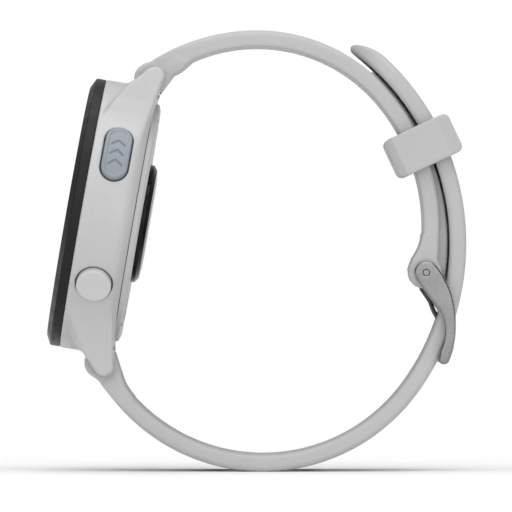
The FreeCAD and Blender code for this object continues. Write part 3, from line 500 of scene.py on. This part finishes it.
def moulded(name, colour, rough=0.45, grain=5200, depth=6e-6, blotch=0.06, worn=0.25, gloss=0.5):
    """Moulded plastic or silicone: fine grain, faint cloudiness, edges rubbed a little smoother."""
    n = Nodes(name)
    cloud = n.ranged(n.noise(70, 3), 0.35, 0.65, 0.0, 1.0)
    base = n.mixed(cloud, shade(colour, 1 - blotch), shade(colour, 1 + blotch * 0.5))
    speck = n.ranged(n.noise(1900, 1), 0.62, 0.8, 0.0, 0.5)
    base = n.mixed(speck, base, shade(colour, 0.86))
    rub = n.ranged(n.noise(420, 4), 0.42, 0.62, 0.0, 1.0)
    faded = n.product(n.product(n.edges(), rub), worn)
    base = n.mixed(faded, base, shade(colour, 1.12))
    n.join(base, n.shader.inputs["Base Color"])
    n.join(n.ranged(rub, 0, 1, rough - 0.06, rough + 0.07), n.shader.inputs["Roughness"])
    fine = n.bump(n.noise(grain, 2), depth)
    n.join(n.bump(n.noise(620, 3), depth * 2.2, fine, 0.5), n.shader.inputs["Normal"])
    n.shader.inputs["Specular IOR Level"].default_value = gloss
    return n.material


def metal(name, colour, rough=0.3, lines=(900, 900, 60), depth=3e-6, worn=0.5):
    """Satin metal: fine drawn lines, cloudy polish and brighter rubbed edges."""
    n = Nodes(name)
    drawn = n.noise(6, 3, n.stretched(lines))
    cloud = n.ranged(n.noise(160, 3), 0.35, 0.65, 0.0, 1.0)
    base = n.mixed(cloud, shade(colour, 0.9), shade(colour, 1.06))
    rubbed = n.product(n.edges(0.52, 0.62), worn)
    base = n.mixed(rubbed, base, shade(colour, 1.45))
    n.join(base, n.shader.inputs["Base Color"])
    n.shader.inputs["Metallic"].default_value = 1.0
    n.join(n.ranged(drawn, 0.3, 0.7, rough - 0.08, rough + 0.1), n.shader.inputs["Roughness"])
    n.join(n.bump(drawn, depth), n.shader.inputs["Normal"])
    return n.material


def glass(name):
    """Clear chemically hardened glass with faint smears."""
    n = Nodes(name)
    smear = n.noise(240, 4, n.stretched((1.0, 2.4, 1.0)))
    n.join(n.ranged(smear, 0.35, 0.7, 0.01, 0.035), n.shader.inputs["Roughness"])
    n.shader.inputs["Base Color"].default_value = (0.96, 0.98, 0.98, 1)
    n.shader.inputs["Transmission Weight"].default_value = 1.0
    n.shader.inputs["IOR"].default_value = 1.5
    n.join(n.bump(n.noise(150, 2), 2e-7), n.shader.inputs["Normal"])
    return n.material


def dark_gloss(name, colour, rough=0.12):
    """Tinted acrylic or ink seen through a clear face."""
    n = Nodes(name)
    cloud = n.ranged(n.noise(130, 3), 0.35, 0.65, 0.0, 1.0)
    n.join(n.mixed(cloud, colour, shade(colour, 1.5)), n.shader.inputs["Base Color"])
    n.join(n.ranged(n.noise(500, 4), 0.3, 0.7, rough * 0.8, rough * 1.4), n.shader.inputs["Roughness"])
    n.shader.inputs["Specular IOR Level"].default_value = 0.15
    n.join(n.bump(n.noise(900, 2), 4e-7), n.shader.inputs["Normal"])
    return n.material


def laminate(name, colour, line_colour, metallic=0.0, rough=0.4):
    """A printed film or board: fine traces over a coated ground."""
    n = Nodes(name)
    weave = n.add("ShaderNodeTexBrick")
    n.join(n.object, weave.inputs["Vector"])
    weave.inputs["Scale"].default_value = 900
    weave.inputs["Color1"].default_value = (*colour, 1)
    weave.inputs["Color2"].default_value = (*shade(colour, 0.82), 1)
    weave.inputs["Mortar"].default_value = (*line_colour, 1)
    weave.inputs["Mortar Size"].default_value = 0.03
    cloud = n.ranged(n.noise(260, 3), 0.35, 0.65, 0.0, 0.4)
    n.join(n.mixed(cloud, weave.outputs["Color"], shade(colour, 1.25)), n.shader.inputs["Base Color"])
    n.shader.inputs["Metallic"].default_value = metallic
    n.join(n.ranged(n.noise(800, 3), 0.3, 0.7, rough - 0.1, rough + 0.15), n.shader.inputs["Roughness"])
    n.join(n.bump(weave.outputs["Fac"], 8e-6, n.bump(n.noise(3000, 2), 3e-6)), n.shader.inputs["Normal"])
    return n.material


SILICONE = srgb(175, 175, 175)
CASE = srgb(179, 179, 179)

FINISHES = {
    "case_polymer": moulded("case_polymer", CASE, 0.42, blotch=0.03, worn=0.3),
    "black_polymer": moulded("black_polymer", srgb(25, 25, 26), 0.42, 6200, 7e-6, 0.18, 0.5, 0.2),
    "cover_glass": glass("cover_glass"),
    "display": dark_gloss("display", srgb(14, 16, 20), 0.1),
    "sensor_lens": dark_gloss("sensor_lens", srgb(16, 16, 18), 0.1),
    "white_silicone": moulded("white_silicone", SILICONE, 0.55, 4800, 5e-6, 0.03, 0.2, 0.35),
    "seal_rubber": moulded("seal_rubber", srgb(40, 41, 42), 0.6, 3000, 1.2e-5, 0.2, 0.2),
    "run_cap": moulded("run_cap", srgb(128, 135, 143), 0.38, 5200, 4e-6, 0.03, 0.3),
    # The round caps are the case's colour lifted a little: painted light standing in for the light on their
    # dished faces.
    "round_cap": moulded("round_cap", srgb(187, 187, 187), 0.38, 5200, 4e-6, 0.03, 0.3),
    "buckle_steel": metal("buckle_steel", srgb(140, 140, 141), 0.3),
    "bar_steel": metal("bar_steel", srgb(186, 187, 190), 0.25, (1200, 60, 1200)),
    "board_laminate": laminate("board_laminate", srgb(24, 74, 48), srgb(150, 128, 70)),
    "chip_resin": moulded("chip_resin", srgb(30, 31, 33), 0.5, 2600, 1e-5, 0.2, 0.4),
    "battery_foil": laminate("battery_foil", srgb(150, 152, 156), srgb(110, 112, 118), 0.8, 0.35),
    "tray_polymer": moulded("tray_polymer", srgb(60, 62, 66), 0.5, 2400, 1e-5, 0.15, 0.3),
    "antenna_copper": metal("antenna_copper", srgb(198, 140, 96), 0.3, (700, 700, 700)),
    "flex_film": laminate("flex_film", srgb(170, 96, 26), srgb(120, 62, 14), 0.0, 0.3),
}
RUN_INK = moulded("run_ink", srgb(98, 106, 114), 0.45, 5200, 4e-6, 0.05, 0.1)
# A darker copy of the buckle's steel for the tongue: painted shade standing in for the band's shadow over it.
TONGUE_PAINTED_SHADE_STEEL = metal("tongue_painted_shade_steel", srgb(74, 74, 76), 0.36)


def dress(piece, slot, body=None, *nodes):
    """Give a piece its finish, its body and the CAD nodes that it stands for."""
    piece.data.materials.clear()
    piece.data.materials.append(FINISHES[slot])
    if body:
        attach(piece, body)
    if nodes:
        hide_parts(*nodes)
    return piece


# Case --------------------------------------------------------------------------------------------

LUG_SIDE = outline([(12.0, 8.95), (14.7, 8.7), (16.7, 8.2), (18.4, 7.4), (20.0, 6.45), (21.5, 5.45),
                    (22.8, 4.15), (24.3, 2.85), (24.7, 2.0, 1.6, 1), (23.4, 0.12), (21.6, 0.45),
                    (19.3, 0.9), (12.0, 2.1)])


def slot_length(t, h, length, width):
    """Distance to a round-ended slot, long in t."""
    return hypot(over(np.abs(t) - (length - width) / 2), h) - width / 2


def button_parts(x, y, z, angle):
    """Distances outward, round the case, and up towards the glass, from a button's stem."""
    turn = math.radians(angle)
    return (x * math.cos(turn) + y * math.sin(turn), -x * math.sin(turn) + y * math.cos(turn),
            z - BUTTON_LEVEL)


def housing_field(x, y, z):
    """The middle case: a tapered shell with four lugs, the straps' mouths, bosses and button holes."""
    radius = hypot(x, y)
    side = radius - CASE_RADIUS
    taper = side * TAPER_RUN - (z - TAPER_FROM) * TAPER_RISE
    shell = soft_both(side, taper, 0.9)
    shell = both(both(shell, CASE_REAR - z, 0.3), z - CASE_FRONT, 0.28)
    end = np.abs(y)
    width = np.interp(end, LUG_STATIONS, LUG_HALF_WIDTHS)
    lugs = both(flat_field(end, z, LUG_SIDE), (np.abs(x) - width) * LUG_LEAN, 0.55)
    lugs = np.maximum(lugs, LUG_START - end)
    solid = either(shell, lugs, 0.8)
    gap = np.abs(x) - STRAP_ROOM
    from_bar = hypot(end - BAR_REACH, z - BAR_HEIGHT)
    notch = both(NOTCH_START - end, z - NOTCH_TOP, 0.3)
    mouth = np.minimum(from_bar - LOOP_ROOM, np.minimum(ROOM_START - end, notch))
    solid = both(solid, -both(gap, mouth, 0.2), 0.25)
    solid = both(solid, CAVITY_RADIUS - radius, 0.15)
    solid = np.maximum(solid, -np.maximum(radius - COVER_SEAT, z - CASE_REAR))
    for angle in BOSS_ANGLES:
        turn = math.radians(angle)
        spot = hypot(x - BOSS_CIRCLE * math.cos(turn), y - BOSS_CIRCLE * math.sin(turn))
        boss = np.maximum(spot - BOSS_RADIUS, np.abs(z - BOSS_LEVEL) - BOSS_HALF)
        solid = np.minimum(solid, np.maximum(boss, BOSS_BORE - spot))
    solid = both(solid, -np.maximum(from_bar - TIP_BORE, np.abs(x) - TIP_REACH), 0.1)
    for name, angle in BUTTONS.items():
        out, t, h = button_parts(x, y, z, angle)
        if name == "run":
            hole = slot_length(t, h, RUN_LENGTH + 2 * BUTTON_GAP, RUN_WIDTH + 2 * BUTTON_GAP)
        else:
            hole = hypot(t, h) - ROUND_RADIUS - BUTTON_GAP
        solid = both(solid, -both(hole, BUTTON_POCKET - out, 0.2), 0.22)
        solid = np.maximum(solid, -np.maximum(hypot(t, h) - STEM_BORE, STEM_BORE_START - out))
    return solid


def make_case():
    place = case_matrix()
    dress(shaped("case_body", housing_field, (-21.6, -24.9, 0.2), (21.6, 24.9, 9.4), 0.17, place),
          "case_polymer", "root", "case_housing")
    bezel = eased([(17.6, 8.5), (18.3, 8.5), (18.3, 9.32), (21.45, 9.32), (21.45, 10.82), (19.9, 11.6),
                   (19.45, 11.6), (19.45, 10.3), (17.6, 10.3)], 0.16)
    dress(turned("bezel_ring", bezel, place, 256), "black_polymer", "root", "bezel")
    lens = eased([(AXIS, 10.38), (19.4, 10.38), (19.4, 11.54), (AXIS, 11.54)], 0.2)
    dress(turned("lens_glass", lens, place, 256), "cover_glass", "root", "lens")
    window = eased([(AXIS, -1.4), (7.2, -1.4), (8.7, -1.15), (9.4, -0.6), (9.5, 0), (8.85, 0),
                    (8.85, 0.95), (8.1, 0.95), (8.1, -0.5), (AXIS, -0.5)], 0.12)
    dress(turned("sensor_cover", window, place, 160), "sensor_lens", "root", "sensor_window")


# Buttons -----------------------------------------------------------------------------------------

def cap_field(name, angle):
    """A button's cap, with a sunk tray on the run button and a dish on a round one, and its stem."""
    def field(x, y, z):
        out, t, h = button_parts(x, y, z, angle)
        if name == "run":
            rim = slot_length(t, h, RUN_LENGTH, RUN_WIDTH)
            top = hypot(out, t) - RUN_FACE
            tray = np.maximum(rim + RUN_RIM, RUN_FACE - RUN_SINK - hypot(out, t))
            cap = both(both(rim, top, 0.3), BUTTON_INNER - out, 0.1)
            cap = both(cap, -tray, 0.12)
        else:
            rim = hypot(t, h) - ROUND_RADIUS
            top = hypot(out, t) - ROUND_FACE
            centre = ROUND_FACE + DISH_RADIUS - DISH_DEPTH
            dish = DISH_RADIUS - np.sqrt((out - centre) ** 2 + t * t + h * h)
            cap = both(both(rim, top, 0.35), BUTTON_INNER - out, 0.1)
            cap = both(cap, dish, 0.3)
        run = np.maximum(STEM_END - out, out - BUTTON_INNER - 0.5)
        stem = np.maximum(hypot(t, h) - STEM_RADIUS, run)
        return np.minimum(cap, stem)
    return field


def mark_field(angle):
    """Three chevrons inlaid in the run button."""
    def field(x, y, z):
        out, t, h = button_parts(x, y, z, angle)
        along = t - np.clip(np.round(t / CHEVRON_PITCH), -1, 1) * CHEVRON_PITCH
        stroke = np.abs(along + (np.abs(h) - CHEVRON_MIDDLE) * 0.75) * 0.8 - CHEVRON_HALF
        shape = both(stroke, np.abs(h) - CHEVRON_REACH, 0.08)
        depth = hypot(out, t)
        inlay = np.maximum(depth - RUN_FACE + CHEVRON_TOP, RUN_FACE - CHEVRON_FLOOR - depth)
        return both(shape, inlay, 0.05)
    return field


def make_buttons():
    """Each cap is meshed within a box about the middle of its stem."""
    place = case_matrix()
    for name, angle in BUTTONS.items():
        turn = math.radians(angle)
        middle = (BOX_CIRCLE * math.cos(turn), BOX_CIRCLE * math.sin(turn), BUTTON_LEVEL)
        reach = (*[RUN_BOX if name == "run" else ROUND_BOX] * 2, BOX_HALF_HEIGHT)
        low = [m - r for m, r in zip(middle, reach)]
        high = [m + r for m, r in zip(middle, reach)]
        slot = "run_cap" if name == "run" else "round_cap"
        dress(shaped(f"{name}_cap", cap_field(name, angle), low, high, 0.13, place),
              slot, f"{name}_button", f"{name}_button")
        if name == "run":
            mark = shaped("run_mark", mark_field(angle), low, high, 0.07, place)
            dress(mark, "run_cap", "run_button")
            mark.data.materials[0] = RUN_INK


# Band --------------------------------------------------------------------------------------------

def knob_room(x, y, z, end):
    """The opening in a strap's end through which the spring bar's knob is reached."""
    bar = bar_in_loop(end)
    tilt = math.radians(CASE_TILT)
    up, out = z - bar[1], x - bar[0]
    twelve = out * math.sin(tilt) + up * math.cos(tilt)
    glass_way = -out * math.cos(tilt) + up * math.sin(tilt)
    inward = -end * twelve * math.sin(KNOB_LEAN) - glass_way * math.cos(KNOB_LEAN)
    across = -end * twelve * math.cos(KNOB_LEAN) + glass_way * math.sin(KNOB_LEAN)
    return box_field((inward - KNOB_ROOM[0], across, y + KNOB_PLACE), KNOB_ROOM, 0.1)


LONG_ROOT = outline([(-19.5, 11.8), (-18.98, 8.35), (-21.76, 11.25), (-25.24, 14.75), (-26.5, 16.4),
                     (-25.4, 18.6), (-23.6, 19.2), (-22.3, 18.7), (-21.0, 14.7, 9.0, -1)])
SHORT_ROOT = outline([(-10.4, 64.68, 5.0, 1), (-12.9, 62.7), (-15.25, 59.65), (-16.75, 59.9),
                      (-16.75, 61.9), (-12.5, 65.2)])
SHORT_FLARE = outline([(26.33, 37.4), (28.0, 37.4), (27.0, 31.4), (24.35, 31.9), (24.75, 33.6, 9.0, -1)])


def along_long(x, z):
    """Distance outside and inside the long half's two tangent arcs, and the length along it."""
    tail_middle = TAIL_RADIUS - LONG_THICK / 2
    lower_middle = LONG_RADIUS - LONG_THICK / 2
    lower = hypot(x - LONG_CENTRE[0], z - LONG_CENTRE[1])
    upper = hypot(x - TAIL_CENTRE[0], z - TAIL_CENTRE[1])
    turn = np.arctan2(z - TAIL_CENTRE[1], x - TAIL_CENTRE[0]) - TAIL_TURN
    back = np.mod(TAIL_TURN - np.arctan2(z - LONG_CENTRE[1], x - LONG_CENTRE[0]), 2 * math.pi)
    on_tail = (z - LONG_CENTRE[1]) * math.cos(TAIL_TURN) - (x - LONG_CENTRE[0]) * math.sin(TAIL_TURN) > 0
    length = np.where(on_tail, turn * tail_middle, -back * lower_middle)
    outside = np.where(on_tail, upper - TAIL_RADIUS, lower - LONG_RADIUS)
    inside = np.where(on_tail, TAIL_RADIUS - LONG_THICK - upper, LONG_RADIUS - LONG_THICK - lower)
    return outside, inside, length


def long_field(x, y, z):
    """The half with the holes: band, thinned round tip, root, bar loop, holes and knob room."""
    outside, inside, length = along_long(x, z)
    middle = TAIL_RADIUS - LONG_THICK / 2
    tip = (TAIL_END - TAIL_TURN) * middle
    width = np.maximum(hypot(over(length - (tip - TIP_ROUND)), y) - TIP_ROUND, np.abs(y) - BAND_HALF)
    outside = outside + TIP_THINNING * np.clip((length - tip + TIP_TAPER) / TIP_TAPER, 0, 1.2) ** 2
    bar = bar_in_loop(-1)
    from_bar = hypot(x - bar[0], z - bar[1])
    shoulder = ROOT_ROUND + ROUND_GROWTH * smooth_step(*ROUND_GROWS, from_bar)
    shoulder = shoulder * (1 - 0.55 * smooth_step(tip - 6.0, tip, length))
    band = np.maximum(both(outside, width, shoulder), both(inside, width, 0.8))
    band = np.maximum(band, -LONG_LOWER - length)
    edge = np.abs(y) - BAND_HALF
    band = either(band, both(flat_field(x, z, LONG_ROOT), edge, ROOT_ROUND), 0.5)
    band = either(band, both(from_bar - BAR_LOOP, edge, ROOT_ROUND), 0.35)
    first = (HOLE_ANGLE - TAIL_TURN) * middle
    index = np.clip(np.round((length - first) / HOLE_PITCH), -HOLES_EACH_WAY, HOLES_EACH_WAY)
    hole = slot_length(length - first - index * HOLE_PITCH, y, HOLE_LENGTH, HOLE_WIDTH)
    band = both(band, -hole, 0.25)
    band = both(band, BAR_BORE - from_bar, 0.05)
    return both(band, -knob_room(x, y, z, -1), 0.15)


def rib_field(x, y, z, outside):
    """The low rib on the short half's outer face, that the tail lies on."""
    from_tail = hypot(x - TAIL_CENTRE[0], z - TAIL_CENTRE[1])
    turn = np.arctan2(z - TAIL_CENTRE[1], x - TAIL_CENTRE[0])
    top = from_tail - (TAIL_RADIUS - LONG_THICK - RIB_GAP)
    ends = np.maximum(turn - RIB_TURNS[1], RIB_TURNS[0] - turn) * TAIL_RADIUS
    rib = both(both(top, np.abs(y) - RIB_HALF, 0.35), ends, 0.3)
    return np.maximum(rib, -outside - RIB_SINK)


def short_field(x, y, z):
    """The buckle's half: band on three tangent arcs, rib, root, flare and bulge round the pin."""
    lower = hypot(x - SHORT_CENTRE[0], z - SHORT_CENTRE[1])
    crown = hypot(x - CROWN_CENTRE[0], z - CROWN_CENTRE[1])
    side = hypot(x - SIDE_CENTRE[0], z - SIDE_CENTRE[1])
    above = ((z - CROWN_CENTRE[1]) * math.cos(CROWN_TURN) - (x - CROWN_CENTRE[0]) * math.sin(CROWN_TURN)) > 0
    left = x < CROWN_CENTRE[0]
    outside = np.where(above | left, np.where(left, side - SIDE_RADIUS, crown - CROWN_RADIUS - SHORT_THICK),
                       lower - SHORT_RADIUS - SHORT_THICK)
    inside = np.where(above | left, CROWN_RADIUS - crown, SHORT_RADIUS - lower)
    edge = np.abs(y) - BAND_HALF
    bar = bar_in_loop(+1)
    from_bar = hypot(x - bar[0], z - bar[1])
    from_pin = hypot(x - PIN[0], z - PIN[1])
    grown = smooth_step(*ROUND_GROWS, from_bar) * smooth_step(2.0, 6.0, from_pin)
    shoulder = ROOT_ROUND + ROUND_GROWTH * grown
    band = np.maximum(both(outside, edge, shoulder), both(inside, edge, 0.5))
    start = (x - SHORT_START[0]) * SHORT_START_WAY[0] + (z - SHORT_START[1]) * SHORT_START_WAY[1]
    band = np.maximum(band, -start)
    band = np.maximum(band, SHORT_END[1] - z + (SHORT_END[0] - x) * SHORT_END_SLOPE)
    root = both(flat_field(x, z, SHORT_ROOT), edge, ROOT_ROUND)
    flare = both(flat_field(x, z, SHORT_FLARE), edge, ROOT_ROUND)
    bulge = both(hypot(x - PIN[0] + 0.1, z - PIN[1]) - PIN_BULGE, edge, ROOT_ROUND)
    band = np.minimum(band, rib_field(x, y, z, outside))
    band = either(band, root, 0.5)
    band = either(either(band, flare, 0.4), bulge, 0.5)
    band = either(band, both(from_bar - BAR_LOOP, edge, ROOT_ROUND), 0.35)
    band = both(band, BAR_BORE - from_bar, 0.05)
    band = both(band, PIN_BORE - from_pin, 0.1)
    room = box_field((x - PIN[0] - 0.2, y, z - PIN[1] + 1.2), TONGUE_ROOM, 0.2)
    return both(both(band, -room, 0.2), -knob_room(x, y, z, +1), 0.15)


def keeper_field(x, y, z):
    """The loose loop: a rounded block with two sloping bands a side, hollowed for both layers."""
    along = (x - KEEPER_CENTRE[0]) * math.cos(KEEPER_TILT) + (z - KEEPER_CENTRE[1]) * math.sin(KEEPER_TILT)
    cross = (z - KEEPER_CENTRE[1]) * math.cos(KEEPER_TILT) - (x - KEEPER_CENTRE[0]) * math.sin(KEEPER_TILT)
    depth, width, length = KEEPER_HALF
    corner = np.where(along > 0, KEEPER_ROUND, 0.9)
    u, v = np.abs(along) - depth - 0.1 + corner, np.abs(y) - width + corner
    section = hypot(over(u), over(v)) + np.minimum(np.maximum(u, v), 0) - corner
    facet = (np.abs(along) - depth + np.where(along > 0, *KEEPER_FACETS)) * 0.555
    section = soft_both(section, facet + (np.abs(y) - width) * 0.832, 0.12)
    u, v = np.abs(along) - depth - 0.1 + KEEPER_ROUND, np.abs(cross) - length + KEEPER_ROUND
    side_view = hypot(over(u), over(v)) + np.minimum(np.maximum(u, v), 0) - KEEPER_ROUND
    body = both(section, side_view, 0.35)
    radius = hypot(x - SHORT_CENTRE[0], z - SHORT_CENTRE[1])
    room = np.maximum(radius - KEEPER_ROOM[1], KEEPER_ROOM[0] - radius)
    room = both(room, np.abs(y) - KEEPER_ROOM_HALF, 0.6)
    return both(body, -room, 0.3)


def make_band():
    place = loop_matrix()
    reach = BAND_HALF + 0.1
    long_band = shaped("long_band", long_field, (-27.2, -reach, -0.1), (33.3, reach, 68.6), 0.22, place)
    dress(long_band, "white_silicone")
    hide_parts("long_strap")
    bend_start = place @ Vector((*bar_in_loop(-1)[:1], 0, bar_in_loop(-1)[1]))
    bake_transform(long_band)
    short_band = shaped("short_band", short_field, (-19.3, -reach, 28.5), (30.0, reach, 69.7), 0.22, place)
    dress(short_band, "white_silicone", "short_strap", "short_strap")
    keeper = shaped("keeper", keeper_field, (19.5, -12.3, 45.4), (33.3, 12.3, 57.4), 0.2, place)
    dress(keeper, "white_silicone", "keeper", "keeper_loop")


# Buckle ------------------------------------------------------------------------------------------

ARM = outline([(25.02, 31.0, 1.88, 1), (28.35, 32.53), (29.39, 31.13), (30.38, 29.16, 15.3, 1),
               (31.5, 22.9, 13.0, 1), (30.38, 17.4, 0.86, 1), (28.8, 17.55), (29.1, 19.22, 6.6, -1),
               (28.77, 25.7), (27.43, 27.3), (26.05, 29.22)])
CROSSBAR = outline([(31.5, 19.35), (31.62, 18.6, 2.2, 1), (30.3, 16.95), (29.15, 17.4),
                    (30.0, 19.35, 0.95, 1)])
TONGUE = outline([(25.5, 30.6), (26.0, 28.6), (27.3, 26.7), (27.9, 25.1), (30.1, 21.25), (30.5, 19.5),
                  (29.8, 17.5), (30.3, 17.3), (31.1, 19.4), (30.95, 21.5), (28.5, 25.5),
                  (27.85, 27.1), (27.1, 28.75), (28.1, 30.8)])


PLATE_MIDDLE, PLATE_HALF, PLATE_ROUND = 11.1, 0.7, 0.42
CROSSBAR_HALF, NOTCH_HALF, NOTCH_FLOOR = 10.9, 1.15, 0.55
TONGUE_HALF, TONGUE_EYE = 0.9, 1.55


def frame_field(x, y, z):
    """The buckle's two side plates and the crossbar that the tongue's tip lies in."""
    arm = flat_field(x, z, ARM)
    plates = both(arm, np.abs(np.abs(y) - PLATE_MIDDLE) - PLATE_HALF, PLATE_ROUND)
    bar = both(flat_field(x, z, CROSSBAR), np.abs(y) - CROSSBAR_HALF, 0.1)
    bar = np.maximum(bar, arm) + 0.02
    tail = hypot(x - TAIL_CENTRE[0], z - TAIL_CENTRE[1])
    notch = both(np.abs(y) - NOTCH_HALF, TAIL_RADIUS + NOTCH_FLOOR - tail, 0.1)
    bar = both(bar, -notch, 0.12)
    from_pin = hypot(x - PIN[0], z - PIN[1])
    bore = np.where(np.abs(y) < PIN_SHOULDER, PIN_BORE, PIN_NOSE + 0.05) - from_pin
    return both(either(plates, bar, 0.25), bore, 0.06)


def tongue_field(x, y, z):
    blade = flat_field(x, z, TONGUE)
    from_pin = hypot(x - PIN[0], z - PIN[1])
    solid = both(either(blade, from_pin - TONGUE_EYE, 0.3), np.abs(y) - TONGUE_HALF, 0.25)
    return both(solid, PIN_BORE - from_pin, 0.08)


def make_buckle():
    place = loop_matrix()
    frame_piece = shaped("buckle", frame_field, (24.6, -11.9, 16.5), (31.9, 11.9, 33.5), 0.13, place)
    dress(frame_piece, "buckle_steel", "buckle", "buckle_frame")
    tongue = shaped("tongue", tongue_field, (25.2, -1.0, 16.3), (31.9, 1.0, 33.1), 0.11, place)
    dress(tongue, "buckle_steel", "tongue", "buckle_tongue")
    # The tongue takes the darker steel copy: painted shade for the band's shadow over it.
    tongue.data.materials[0] = TONGUE_PAINTED_SHADE_STEEL
    turn = Matrix.Translation((PIN[0], 0, PIN[1])) @ Matrix.Rotation(math.radians(90), 4, "X")
    rod = eased([(AXIS, -PIN_END), (PIN_NOSE, -PIN_END), (PIN_NOSE, -PIN_SHOULDER),
                 (PIN_BODY, -PIN_SHOULDER), (PIN_BODY, PIN_SHOULDER), (PIN_NOSE, PIN_SHOULDER),
                 (PIN_NOSE, PIN_END), (AXIS, PIN_END)], 0.08)
    dress(turned("pin", rod, place @ turn, 64), "buckle_steel", "short_strap", "buckle_pin")


# Spring bars -------------------------------------------------------------------------------------

SPRING_TURNS, SPRING_STEPS, WIRE, RELEASE_TRAVEL = 15, 20, 0.11e-3, 1.3e-3


def coil(name, low, high):
    """A coil spring along Y that fills a box, its wire's ends drawn to a point."""
    middle = (low + high) / 2
    steps = SPRING_TURNS * SPRING_STEPS
    along = np.linspace(-1, 1, steps + 1)[:, None]
    turn = along * math.pi * SPRING_TURNS
    thick = WIRE * np.minimum(1, (1 - np.abs(along)) * steps / 4 + 0.001)
    around = np.arange(8)[None, :] * math.pi / 4
    out = (high.x - low.x) / 2 - WIRE + thick * np.cos(around)
    run = along * ((high.y - low.y) / 2 - WIRE) + thick * np.sin(around)
    points = np.stack([middle.x + out * np.cos(turn), middle.y + run, middle.z + out * np.sin(turn)], axis=-1)
    i, j = np.meshgrid(np.arange(steps), np.arange(8), indexing="ij")
    beside = (j + 1) % 8
    quads = np.stack([i * 8 + j, i * 8 + beside, (i + 1) * 8 + beside, (i + 1) * 8 + j], axis=-1)
    return welded(new_mesh(name, points.reshape(-1, 3), quads.reshape(-1, 4), Matrix()), 1e-6)


def make_springs():
    """The springs in the spring bars, each coiled to fill its bar spring's box."""
    for name, body in (("upper", "short_strap"), ("lower", "root")):
        low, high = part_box(f"{name}_bar_spring")
        spring = coil(f"{name}_spring", low, high)
        dress(spring, "bar_steel", body, f"{name}_bar_spring")
        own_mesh(spring)


# Carried-over parts ------------------------------------------------------------------------------

def dress_cad_nodes():
    """Every CAD node gets its slot's finish, and soft shading across small angles."""
    for part in frame["record"]["subparts"]:
        piece = frame["nodes"][part["node"]]
        piece.data.materials.clear()
        piece.data.materials.append(FINISHES[part["material_slot"]])
        piece.data.set_sharp_from_angle(angle=math.radians(32))


# Stage -------------------------------------------------------------------------------------------

# The camera's distance and the width it sees are in metres; it aims at a point of the loop's plane.
CAMERA_AWAY, VIEW_WIDTH, SENSOR = 1.55, 0.0812, 36.0
AIM = (0.04, 34.0)
FLOOR_REACH = 3.0
SKY_WHITE, SKY_DIM, FRONT_GLOW, BACK_GLOW = 1.02, 0.15, 1.7, 0.5
TOP_POWER = 2.3


def soft_sun(name, azimuth, elevation, spread, power):
    """A wide, far light.  Azimuth 0 is behind the camera, and 90 is on its right."""
    lamp = bpy.data.lights.new(name, "SUN")
    lamp.angle = math.radians(spread)
    lamp.energy = power
    holder = bpy.data.objects.new(name, lamp)
    bpy.context.scene.collection.objects.link(holder)
    round_about, up = math.radians(azimuth), math.radians(elevation)
    way = Vector((math.sin(round_about) * math.cos(up), -math.cos(round_about) * math.cos(up), math.sin(up)))
    holder.rotation_euler = way.to_track_quat("Z", "Y").to_euler()


def make_floor():
    mesh = bpy.data.meshes.new("floor")
    corners = [(-1, -1), (1, -1), (1, 1), (-1, 1)]
    mesh.from_pydata([(x * FLOOR_REACH, y * FLOOR_REACH, 0) for x, y in corners], [], [(0, 1, 2, 3)])
    floor = bpy.data.objects.new("floor", mesh)
    bpy.context.scene.collection.objects.link(floor)
    floor.location.z = cad_box[0][2]
    n = Nodes("floor_paper")
    n.join(n.mixed(n.noise(8, 2), (0.88, 0.88, 0.88), (0.9, 0.9, 0.9)), n.shader.inputs["Base Color"])
    n.shader.inputs["Roughness"].default_value = 0.9
    mesh.materials.append(n.material)


def make_world():
    """White all round the horizon, with a broad soft light in front and a weaker one behind."""
    world = bpy.data.worlds.new("studio")
    bpy.context.scene.world = world
    world.use_nodes = True
    tree = world.node_tree
    place = tree.nodes.new("ShaderNodeTexCoord")
    parts = tree.nodes.new("ShaderNodeSeparateXYZ")
    tree.links.new(place.outputs["Generated"], parts.inputs["Vector"])

    def ranged(source, low, high, to_low, to_high):
        made = tree.nodes.new("ShaderNodeMapRange")
        made.interpolation_type = "SMOOTHSTEP"
        for socket, value in zip(("From Min", "From Max", "To Min", "To Max"), (low, high, to_low, to_high)):
            made.inputs[socket].default_value = value
        tree.links.new(source, made.inputs["Value"])
        return made.outputs["Result"]

    def joined(operation, first, second):
        made = tree.nodes.new("ShaderNodeMath")
        made.operation = operation
        tree.links.new(first, made.inputs[0])
        tree.links.new(second, made.inputs[1])
        return made.outputs[0]

    front = ranged(parts.outputs["Y"], -1.0, -0.1, FRONT_GLOW, 0.0)
    behind = ranged(parts.outputs["Y"], 0.1, 1.0, 0.0, BACK_GLOW)
    horizon = ranged(parts.outputs["Z"], 0.03, 0.08, SKY_WHITE, SKY_DIM)
    strength = joined("MAXIMUM", horizon, joined("ADD", front, behind))
    background = tree.nodes["Background"]
    background.inputs["Color"].default_value = (1, 1, 1, 1)
    tree.links.new(strength, background.inputs["Strength"])


def make_stage():
    scene = bpy.context.scene
    make_floor()
    make_world()
    soft_sun("top", 0, 84, 70, TOP_POWER)
    scene.view_settings.view_transform = "Standard"
    lens = bpy.data.cameras.new("camera")
    lens.sensor_width = SENSOR
    lens.lens = SENSOR * CAMERA_AWAY / VIEW_WIDTH
    lens.clip_end = 20.0
    camera = bpy.data.objects.new("camera", lens)
    scene.collection.objects.link(camera)
    camera.location = loop_matrix() @ Vector((AIM[0], 0, AIM[1])) - Vector((0, CAMERA_AWAY, 0))
    camera.rotation_euler = (math.radians(90), 0, 0)
    scene.camera = camera


make_case()
make_buttons()
make_band()
make_buckle()
make_springs()
dress_cad_nodes()
make_stage()
